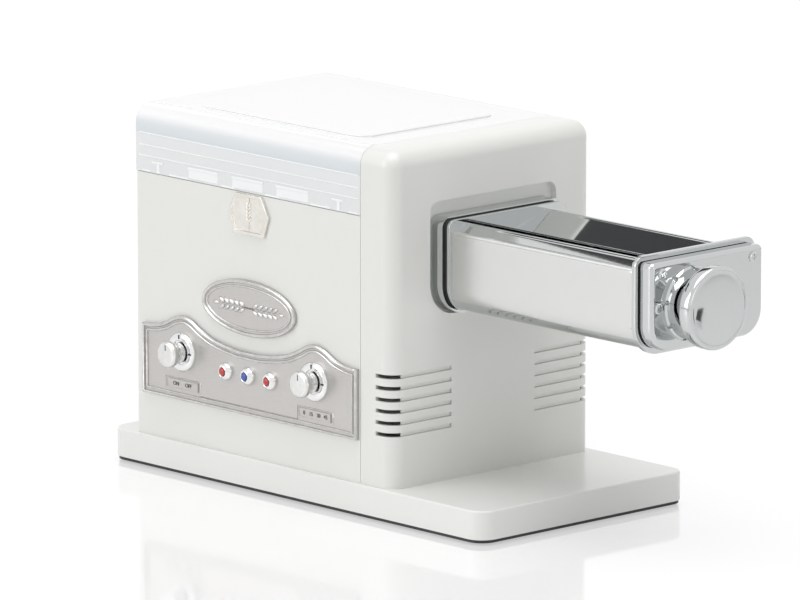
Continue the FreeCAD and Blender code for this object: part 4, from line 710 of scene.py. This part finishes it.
@dataclass
class Lid:
    """Clear hinged lid with ridges across its front."""

    left: float = -137.0
    right: float = 54.9
    top: float = 216.5
    ridges: tuple[float, ...] = (200.2, 193.0, 186.6)
    ridge_radius: float = 0.4
    top_lines: tuple[float, ...] = (-68.5, -66.8)
    upper_bars: tuple[tuple[float, float], ...] = ((-92, -66), (-54, -27), (-16, 12))
    lower_bars: tuple[tuple[float, float], ...] = ((-132, -125), (-108.5, -92), (-63.5, -51.5), (-25, -13),
                                                   (14, 31), (46, 54))
    catches: tuple[float, ...] = (-118.0, 37.5)
    rim_z: tuple[float, float] = (183.5, 185.1)
    field_z: tuple[float, float] = (178.4, 183.4)
    foot_z: tuple[float, float] = (177.3, 178.6)
    catch_head_z: tuple[float, float] = (182.8, 184.2)
    catch_stem_z: tuple[float, float] = (177.3, 182.9)

    def make(self) -> None:
        """Dress the lid and add its moulded ridges."""
        refined("clear_lid", Skin.CLEAR, 0.3 * MM)
        # The ridges get a near-white finish, as painted highlight lines on the clear lid.
        places = [(FRONT + 0.1, z) for z in self.ridges] + [(y, self.top) for y in self.top_lines]
        lines = [swept([(self.left + 2, y, z), (self.right - 1, y, z)], self.ridge_radius, False, 3)
                 for y, z in places]
        piece = joined(lines)
        smooth(piece, 40)
        finished(piece, "lid_ridges", Skin.FROST, "lid")
        self.make_bars()

    @staticmethod
    def bar(x: tuple[float, float], z: tuple[float, float], rise: float, bevel: float = 0.2,
            segments: int = 2) -> bpy.types.Object:
        """Bar on the lid's front.

        Args:
            x: Its ends in X, in millimetres.
            z: Its foot and top, in millimetres.
            rise: How far it stands out, in millimetres.
            bevel: Radius of its edges, in millimetres.
            segments: Segments of the rounded edge.

        Returns:
            The bar.
        """
        return block((x[0], FRONT - rise, z[0]), (x[1], FRONT + 0.2, z[1]), bevel, segments)

    def make_bars(self) -> None:
        """Raised bars and two T-shaped catches moulded along the foot of the front."""
        bars = []
        for low, high in self.upper_bars:
            bars.append(self.bar((low, high), self.rim_z, 0.35))
            bars.append(self.bar((low + 0.4, high - 0.4), self.field_z, 0.12, 0.1, 1))
        for span in self.lower_bars:
            bars.append(self.bar(span, self.foot_z, 0.3))
        for x in self.catches:
            bars.append(self.bar((x - 5.6, x + 4.0), self.catch_head_z, 0.4))
            bars.append(self.bar((x - 1.3, x + 1.3), self.catch_stem_z, 0.4))
        # The bars get the same near-white finish, as painted highlights on the clear lid.
        piece = joined(bars)
        smooth(piece, 40)
        finished(piece, "lid_bars", Skin.FROST, "lid")


@dataclass
class ControlPanel:
    """Brushed control plate with its double bead, labels, dials, knobs and buttons."""

    middle: float = -38.0
    half: float = 93.0
    low: float = 45.0
    face: float = -81.6
    spread: float = 57.3
    knob_z: float = 74.6
    button_z: float = 68.9
    button_pitch: float = 19.1
    label_z: float = 54.8
    beads: tuple[tuple[float, float], ...] = ((1.3, 1.35), (4.2, 0.95))
    mark_ring: float = 9.2
    knob_gap: float = 3.7
    stem_back: float = -70.0
    button_back: float = -77.0
    ledge_z: tuple[float, float] = (-4.6, 3.6)
    ledge_half: float = 15.2
    tab_half: tuple[float, float] = (13.6, 2.8)
    rim_half: tuple[float, float] = (13.3, 2.5)
    letter: float = 3.3
    crest: tuple[tuple[float, float], ...] = ((0, 83.2), (13, 83.6), (30.5, 86.4), (42, 90.8), (50, 94.9),
                                              (57.3, 96.4), (65, 94.6), (74, 90.3), (83, 88.1), (93, 87.5))

    def top(self) -> list[tuple[float, float]]:
        """Points of the twin-crested top from the left end to the right.

        Returns:
            Smooth points in millimetres.
        """
        knots = [(-x, z) for x, z in reversed(self.crest[1:])] + list(self.crest)
        points = []
        for k in range(len(knots) - 1):
            before = knots[max(k - 1, 0)]
            a, b = knots[k], knots[k + 1]
            after = knots[min(k + 2, len(knots) - 1)]
            for step in range(6):
                t = step / 6
                points.append(tuple(self.blend(before[i], a[i], b[i], after[i], t) for i in (0, 1)))
        points.append(knots[-1])
        return [(self.middle + x, z) for x, z in points]

    @staticmethod
    def blend(before: float, a: float, b: float, after: float, t: float) -> float:
        """Value on the smooth curve through four knots between the middle two."""
        return 0.5 * (2 * a + (b - before) * t + (2 * before - 5 * a + 4 * b - after) * t * t
                      + (3 * a - before - 3 * b + after) * t ** 3)

    def outline(self, inset: float) -> list[tuple[float, float]]:
        """The plate's outline moved in by an inset.

        Args:
            inset: How far it is moved in, in millimetres.

        Returns:
            Corners in millimetres, from the lower left one round by the top.
        """
        top = self.top()
        moved = []
        for k, (x, z) in enumerate(top):
            ahead = top[min(k + 1, len(top) - 1)]
            behind = top[max(k - 1, 0)]
            run = Vector((ahead[0] - behind[0], ahead[1] - behind[1])).normalized()
            moved.append((x + run.y * inset, z - run.x * inset))
        left, right = self.middle - self.half + inset, self.middle + self.half - inset
        inner = [(x, z) for x, z in moved if left < x < right]
        start = [(left, self.low + inset), (left, inner[0][1])]
        end = [(right, inner[-1][1]), (right, self.low + inset)]
        return start + inner + end

    def make_plate(self) -> None:
        """Plate with its raised field, double bead and the ledge that joins the label tabs."""
        plate = drawn(self.outline(0.4), 1.6, 0.5, FRONT)
        smooth(plate)
        finished(plate, "control_plate_sheet", Skin.PEWTER, "housing", ["control_plate"])
        rim = joined([swept([(x, self.face, z) for x, z in self.outline(inset)], radius)
                      for inset, radius in self.beads])
        smooth(rim, 50)
        finished(rim, "control_plate_beads", Skin.BEAD, "housing")
        ledge = [(x, self.face, z) for x, z in self.ledge()]
        step = swept(ledge, 0.35, closed=False, sides=2)
        smooth(step, 50)
        finished(step, "control_plate_ledge", Skin.BEAD, "housing")

    def ledge(self) -> list[tuple[float, float]]:
        """Line of the raised ledge along the foot of the plate, up and round both label tabs."""
        foot, rise = (self.label_z + z for z in self.ledge_z)
        inner, outer = self.spread - self.ledge_half, self.spread + self.ledge_half
        return [(self.middle - outer, foot + 1), (self.middle - outer, rise), (self.middle - inner, rise),
                (self.middle - inner, foot), (self.middle + inner, foot), (self.middle + inner, rise),
                (self.middle + outer, rise), (self.middle + outer, foot + 1)]

    def make_label(self, side: int, words: Sequence[tuple[str, float]]) -> None:
        """Label tab with raised words.

        Args:
            side: -1 for the left one, 1 for the right one.
            words: Each word and how far it stands from the tab's middle, in millimetres.
        """
        x = self.middle + side * self.spread
        (wide, high), (rim_x, rim_z) = self.tab_half, self.rim_half
        tab = block((x - wide, self.face - 0.55, self.label_z - high),
                    (x + wide, self.face + 0.3, self.label_z + high), 0.25)
        rim = swept([(x + a * rim_x, self.face - 0.5, self.label_z + b * rim_z) for a, b in
                     ((-1, -1), (1, -1), (1, 1), (-1, 1))], 0.28, sides=2)
        tab = joined([tab, rim])
        smooth(tab)
        name = "left" if side < 0 else "right"
        finished(tab, f"{name}_label", Skin.PEWTER, "housing")
        letters = []
        for word, shift in words:
            put_down()
            bpy.ops.object.text_add()
            text = bpy.context.object
            text.data.body = word
            text.data.size = self.letter * MM
            text.data.align_x = "CENTER"
            text.data.align_y = "CENTER"
            text.data.extrude = 0.12 * MM
            bpy.ops.object.convert(target="MESH")
            text = bpy.context.object
            text.rotation_euler = (math.pi / 2, 0, 0)
            text.location = ((x + shift) * MM, (self.face - 0.6) * MM, self.label_z * MM)
            settle(text)
            letters.append(text)
        finished(joined(letters), f"{name}_label_words", Skin.BLACK, "housing")

    def make_dial(self, side: int) -> None:
        """Chrome ring on the plate with its two black marks, and the knob in front of it.

        Args:
            side: -1 for the left one, 1 for the right one.
        """
        name = "left" if side < 0 else "right"
        x = self.middle + side * self.spread
        centre = (x * MM, self.face * MM, self.knob_z * MM)
        ring = turned("Y", centre, DIAL_RING, closed=True)
        smooth(ring, 40)
        finished(ring, f"{name}_dial_ring", Skin.TRIM, "housing",
                 ["knob_dials"] if side < 0 else [])
        marks = []
        for angle in (math.pi / 2, 0.0):
            mark = block((-0.55, -0.16, -1.25), (0.55, 0.05, 1.25), 0.08, 1)
            mark.rotation_euler = (0, math.pi / 2 - angle, 0)
            mark.location = ((x + self.mark_ring * math.cos(angle)) * MM, (self.face - 3.4) * MM,
                             (self.knob_z + self.mark_ring * math.sin(angle)) * MM)
            settle(mark)
            marks.append(mark)
        finished(joined(marks), f"{name}_dial_marks", Skin.BLACK, "housing")
        base = (x * MM, (self.face - self.knob_gap) * MM, self.knob_z * MM)
        knob = turned("Y", base, KNOB, FLUTES)
        smooth(knob, 30)
        finished(knob, f"{name}_knob_grip", Skin.SATIN, f"{name}_dial", [f"{name}_knob"])
        collar = turned("Y", base, KNOB_COLLAR, FLUTES)
        self.flute(collar, centre, 0.93)
        finished(collar, f"{name}_knob_flutes", Skin.SATIN, f"{name}_dial")
        mark = block((x - 0.4, self.face - 14.12, self.knob_z + 2.4),
                     (x + 0.4, self.face - 13.9, self.knob_z + 6.0), 0.08, 1)
        finished(mark, f"{name}_knob_mark", Skin.BLACK, f"{name}_dial")
        stem = turned("Y", (x * MM, self.stem_back * MM, self.knob_z * MM), KNOB_STEM, 32)
        smooth(stem)
        finished(stem, f"{name}_knob_stem", Skin.STEEL, f"{name}_dial")

    @staticmethod
    def flute(piece: bpy.types.Object, centre: Sequence[float], depth: float) -> None:
        """Press every second vertex of a turned collar in, so that it is fluted.

        Args:
            piece: The collar.
            centre: A point on its axis, which runs along Y, in metres.
            depth: Share of the radius that is left in a flute.
        """
        pick_up(piece)
        bpy.ops.object.mode_set(mode="EDIT")
        bpy.ops.mesh.select_mode(type="VERT")
        bpy.ops.mesh.select_all(action="DESELECT")
        bpy.ops.object.mode_set(mode="OBJECT")
        for vertex in piece.data.vertices:
            angle = math.atan2(vertex.co.z - centre[2], vertex.co.x - centre[0])
            vertex.select = round(angle / (math.tau / FLUTES)) % 2 == 0
        bpy.ops.object.mode_set(mode="EDIT")
        bpy.ops.transform.resize(value=(depth, 1, depth), center_override=tuple(centre))
        bpy.ops.object.mode_set(mode="OBJECT")

    def make_button(self, k: int) -> None:
        """Domed bezel with its coloured button.

        Args:
            k: -1, 0 or 1 from the left.
        """
        name = ("left", "middle", "right")[k + 1]
        x = self.middle + k * self.button_pitch
        centre = (x * MM, self.face * MM, self.button_z * MM)
        bezel = turned("Y", centre, BEZEL, 64, closed=True)
        smooth(bezel, 50)
        finished(bezel, f"{name}_bezel", Skin.TRIM, "housing",
                 ["button_bezels"] if k < 0 else [])
        cap = turned("Y", (x * MM, self.button_back * MM, self.button_z * MM), BUTTON, 48)
        smooth(cap, 50)
        skin = Skin.BLUE if k == 0 else Skin.RED
        finished(cap, f"{name}_button_cap", skin, f"{name}_push",
                 [f"{name}_button"])

    def make(self) -> None:
        """Make the panel and all that is on it."""
        self.make_plate()
        self.make_label(-1, (("ON", -5.6), ("OFF", 5.2)))
        self.make_label(1, (("0", -9.0), ("15", -3.2), ("30", 3.2), ("45", 9.2)))
        for side in (-1, 1):
            self.make_dial(side)
        for k in (-1, 0, 1):
            self.make_button(k)


@dataclass
class Plaque:
    """Oval plaque with a bead and ears of wheat in relief."""

    x: float = -38.0
    z: float = 109.0
    width: float = 80.5
    height: float = 33.6
    sides: int = 96
    ear_shift: float = 11.5
    ear_y: float = -81.8
    ear_length: float = 33.0

    def oval(self, inset: float, y: float) -> list[tuple[float, float, float]]:
        """Points of the oval at an inset, in a plane across Y."""
        return [(self.x + (self.width / 2 - inset) * math.cos(math.tau * k / self.sides), y,
                 self.z + (self.height / 2 - inset) * math.sin(math.tau * k / self.sides))
                for k in range(self.sides)]

    def make(self) -> None:
        """Make the plaque."""
        plate = drawn([(x, z) for x, _, z in self.oval(0.2, 0)], 1.7, 0.6, FRONT)
        smooth(plate)
        finished(plate, "plaque_plate", Skin.PEWTER, "housing", ["front_plaque"])
        rim = joined([swept(self.oval(1.4, -81.6), 1.25), swept(self.oval(4.3, -81.7), 0.7)])
        smooth(rim, 50)
        finished(rim, "plaque_beads", Skin.BEAD, "housing")
        ears = joined([part for shift, tilt in ((self.ear_shift, 0.0), (-self.ear_shift, 180.0))
                       for part in grain_ear((self.x + shift, self.ear_y, self.z), self.ear_length, tilt)])
        smooth(ears, 50)
        finished(ears, "plaque_ears", Skin.BEAD, "housing")


@dataclass
class Badge:
    """Six-sided badge with an upright ear of wheat."""

    x: float = -38.0
    low: float = 152.3

    def make(self) -> None:
        """Make the badge."""
        refined("front_badge", Skin.BADGE, 0.3 * MM)
        ear = joined(grain_ear((self.x, -81.4, self.low + 12.0), 17.0, 90.0))
        smooth(ear, 50)
        finished(ear, "badge_ear", Skin.BADGE, "housing")


@dataclass
class SheetRoller:
    """Chrome sheet roller: flange, covers, rollers, end cover and its fittings."""

    edge: float = 0.3
    face: float = 44.15
    end_face: float = 257.3
    screws: tuple[tuple[float, float], ...] = ((-36.0, 166.7), (36.0, 166.7), (-38.8, 147.0))
    regulator: tuple[float, float, float] = (258.2, -13.9, 147.0)

    def make(self) -> None:
        """Dress the sheet roller."""
        for node in ("mounting_flange", "left_end_plate", "right_end_plate", "end_cover"):
            refined(node, Skin.CHROME, self.edge * MM)
        for node in ("front_cover", "rear_cover"):
            self.two_tone(refined(node, Skin.CHROME, self.edge * MM))
        for node in ("rear_roller", "front_roller"):
            refined(node, Skin.ROLLER, 0.3 * MM)
        refined("gaskets", Skin.RUBBER, 0.2 * MM)
        refined("scrapers", Skin.TUB, 0.2 * MM)
        refined("bearing_blocks", Skin.BLACK, 0.2 * MM)
        painted(Skin.BLACK, "rear_roller_bushes")
        painted(Skin.STEEL, "tie_bars", "rear_roller_gear", "front_roller_gear", "regulator_cams",
                "regulator_rod", "regulator_spring")
        self.make_screws()
        self.make_regulator()

    def two_tone(self, piece: bpy.types.Object) -> None:
        """Give a cover's upright side its softer finish, and keep its slope and rim bright.

        Args:
            piece: The cover.
        """
        piece.data.materials.append(finish_of(Skin.SIDES))
        for face in piece.data.polygons:
            if abs(face.normal.y) > 0.5 and abs(face.center.y) > (self.face - 1.0) * MM:
                face.material_index = 1

    def make_screws(self) -> None:
        """Cross-slot screws on the end cover."""
        heads = []
        for y, z in self.screws:
            head = turned("X", (self.end_face * MM, y * MM, z * MM), SCREW_HEAD, 40)
            slots = [block((self.end_face + 0.9, y - a, z - b), (self.end_face + 2.1, y + a, z + b), 0.0)
                     for a, b in ((1.7, 0.35), (0.35, 1.7))]
            for slot in slots:
                apply_modifier(head, "BOOLEAN", operation="DIFFERENCE", object=slot)
                bpy.data.objects.remove(slot)
            heads.append(head)
        piece = joined(heads)
        smooth(piece, 30)
        finished(piece, "end_screw_heads", Skin.CHROME, "attachment", ["end_cover_screws"])

    def make_regulator(self) -> None:
        """Dial ring and knob of the gap regulator."""
        refined("regulator_dial", Skin.CHROME, 0.25 * MM)
        knob = turned("X", [c * MM for c in self.regulator], REGULATOR_KNOB, 128)
        smooth(knob, 40)
        finished(knob, "regulator_knob_turned", Skin.CHROME, "regulator_grip",
                 ["regulator_knob"])


@dataclass
class Studio:
    """Floor, light and camera."""

    eye: tuple[float, float, float] = (4.0405, -3.7675, 1.2363)
    aim: tuple[float, float, float] = (0.0856, -0.0767, 0.1318)
    lens: float = 434.8
    floor_lift: float = 0.505
    world_light: float = 0.42
    lamp_aim: tuple[float, float, float] = (0.05, 0.0, 0.1)
    lamps: list[tuple[str, float, float, tuple[float, float, float]]] = field(default_factory=lambda: [
        ("top", 54.0, 2.6, (0.35, -0.2, 2.7)),
        ("front_left", 29.5, 2.2, (-1.2, -3.0, 1.3)),
        ("right", 3.0, 1.2, (3.0, 0.3, 0.2)),
    ])
    cards: tuple[tuple, ...] = (  # name, place, turn in degrees and size
        ("left_high_card", (-1.7, 0.35, 1.75), (0, 50, 0), (1.7, 2.8)),
        ("overhead_card", (-1.1, -0.5, 2.9), (0, 25, 0), (0.9, 0.7)),
        # Dark card lying on the floor by the regulator knob: painted floor shade that the knob's face reflects.
        ("floor_shade_card", (0.78, 0.36, 0.012), (0, 0, 43), (0.16, 0.05)),
    )

    def make_floor(self) -> None:
        """Pale glossy floor that runs out of sight; only the eye sees its lift."""
        put_down()
        bpy.ops.mesh.primitive_plane_add(size=40.0, location=(0, 0, 0))
        floor = bpy.context.object
        material, shader = fresh_material("studio_floor")
        shader.inputs["Base Color"].default_value = (0.3, 0.3, 0.3, 1.0)
        shader.inputs["Roughness"].default_value = 0.07
        shader.inputs["Specular IOR Level"].default_value = 0.4
        shader.inputs["Emission Color"].default_value = (1.0, 1.0, 1.0, 1.0)
        shader.inputs["Emission Strength"].default_value = self.floor_lift
        unseen = add_node(material, "ShaderNodeBsdfPrincipled")
        unseen.inputs["Base Color"].default_value = (0.95, 0.95, 0.95, 1.0)
        unseen.inputs["Roughness"].default_value = 0.3
        path = add_node(material, "ShaderNodeLightPath")
        mix = add_node(material, "ShaderNodeMixShader")
        join(material, path.outputs["Is Camera Ray"], mix.inputs["Fac"])
        join(material, unseen.outputs["BSDF"], mix.inputs[1])
        join(material, shader.outputs["BSDF"], mix.inputs[2])
        output = next(node for node in material.node_tree.nodes if node.type == "OUTPUT_MATERIAL")
        join(material, mix.outputs["Shader"], output.inputs["Surface"])
        floor.data.materials.append(material)
        floor.name = "studio_floor"

    def make_world(self) -> None:
        """White surroundings to the eye and in reflections, with softer light on the object."""
        world = bpy.data.worlds.new("studio")
        bpy.context.scene.world = world
        world.use_nodes = True
        tree = world.node_tree
        background = tree.nodes["Background"]
        path = tree.nodes.new("ShaderNodeLightPath")
        seen = tree.nodes.new("ShaderNodeMath")
        seen.operation = "MAXIMUM"
        tree.links.new(path.outputs["Is Camera Ray"], seen.inputs[0])
        tree.links.new(path.outputs["Is Glossy Ray"], seen.inputs[1])
        both = tree.nodes.new("ShaderNodeMath")
        both.operation = "MAXIMUM"
        tree.links.new(seen.outputs[0], both.inputs[0])
        tree.links.new(path.outputs["Is Transmission Ray"], both.inputs[1])
        level = tree.nodes.new("ShaderNodeMapRange")
        level.inputs["To Min"].default_value = self.world_light
        level.inputs["To Max"].default_value = 1.0
        tree.links.new(both.outputs[0], level.inputs["Value"])
        tree.links.new(level.outputs["Result"], background.inputs["Strength"])
        background.inputs["Color"].default_value = (1, 1, 1, 1)

    def make_lamps(self) -> None:
        """Soft area lamps round the object."""
        for name, power, size, place in self.lamps:
            data = bpy.data.lights.new(name, "AREA")
            data.energy = power
            data.size = size
            lamp = bpy.data.objects.new(name, data)
            bpy.context.collection.objects.link(lamp)
            lamp.location = place
            lamp.rotation_euler = (Vector(self.lamp_aim) - Vector(place)).to_track_quat("-Z", "Y").to_euler()

    def make_cards(self) -> None:
        """Dark cards outside the picture for metal to reflect."""
        material, shader = fresh_material("studio_card")
        shader.inputs["Base Color"].default_value = (0.02, 0.02, 0.022, 1.0)
        shader.inputs["Roughness"].default_value = 0.9
        for name, place, turn, size in self.cards:
            put_down()
            bpy.ops.mesh.primitive_plane_add(size=1.0, location=place, rotation=[math.radians(a) for a in turn])
            card = bpy.context.object
            card.scale = (*size, 1.0)
            card.name = name
            card.data.materials.append(material)
            card.visible_camera = False
            card.visible_diffuse = False
            card.visible_shadow = False

    def make_camera(self) -> None:
        """Camera at the photograph's place."""
        data = bpy.data.cameras.new("camera")
        data.lens = self.lens
        data.sensor_width = 36.0
        data.clip_end = 100.0
        camera = bpy.data.objects.new("camera", data)
        bpy.context.collection.objects.link(camera)
        camera.location = self.eye
        camera.rotation_euler = (Vector(self.aim) - Vector(self.eye)).to_track_quat("-Z", "Y").to_euler()
        bpy.context.scene.camera = camera

    def make(self) -> None:
        """Set up the studio."""
        self.make_floor()
        self.make_world()
        self.make_lamps()
        self.make_cards()
        self.make_camera()
        bpy.context.scene.view_settings.view_transform = "Standard"


def main() -> None:
    """Build the pasta maker's pieces in order."""
    logging.basicConfig(level=logging.INFO, format="%(name)s: %(message)s")
    for part in (Board(), Housing(), Lid(), ControlPanel(), Plaque(), Badge(), SheetRoller(), Studio()):
        part.make()
        LOG.info("%s is made", type(part).__name__)
    put_down()


if __name__ == "__main__":
    main()
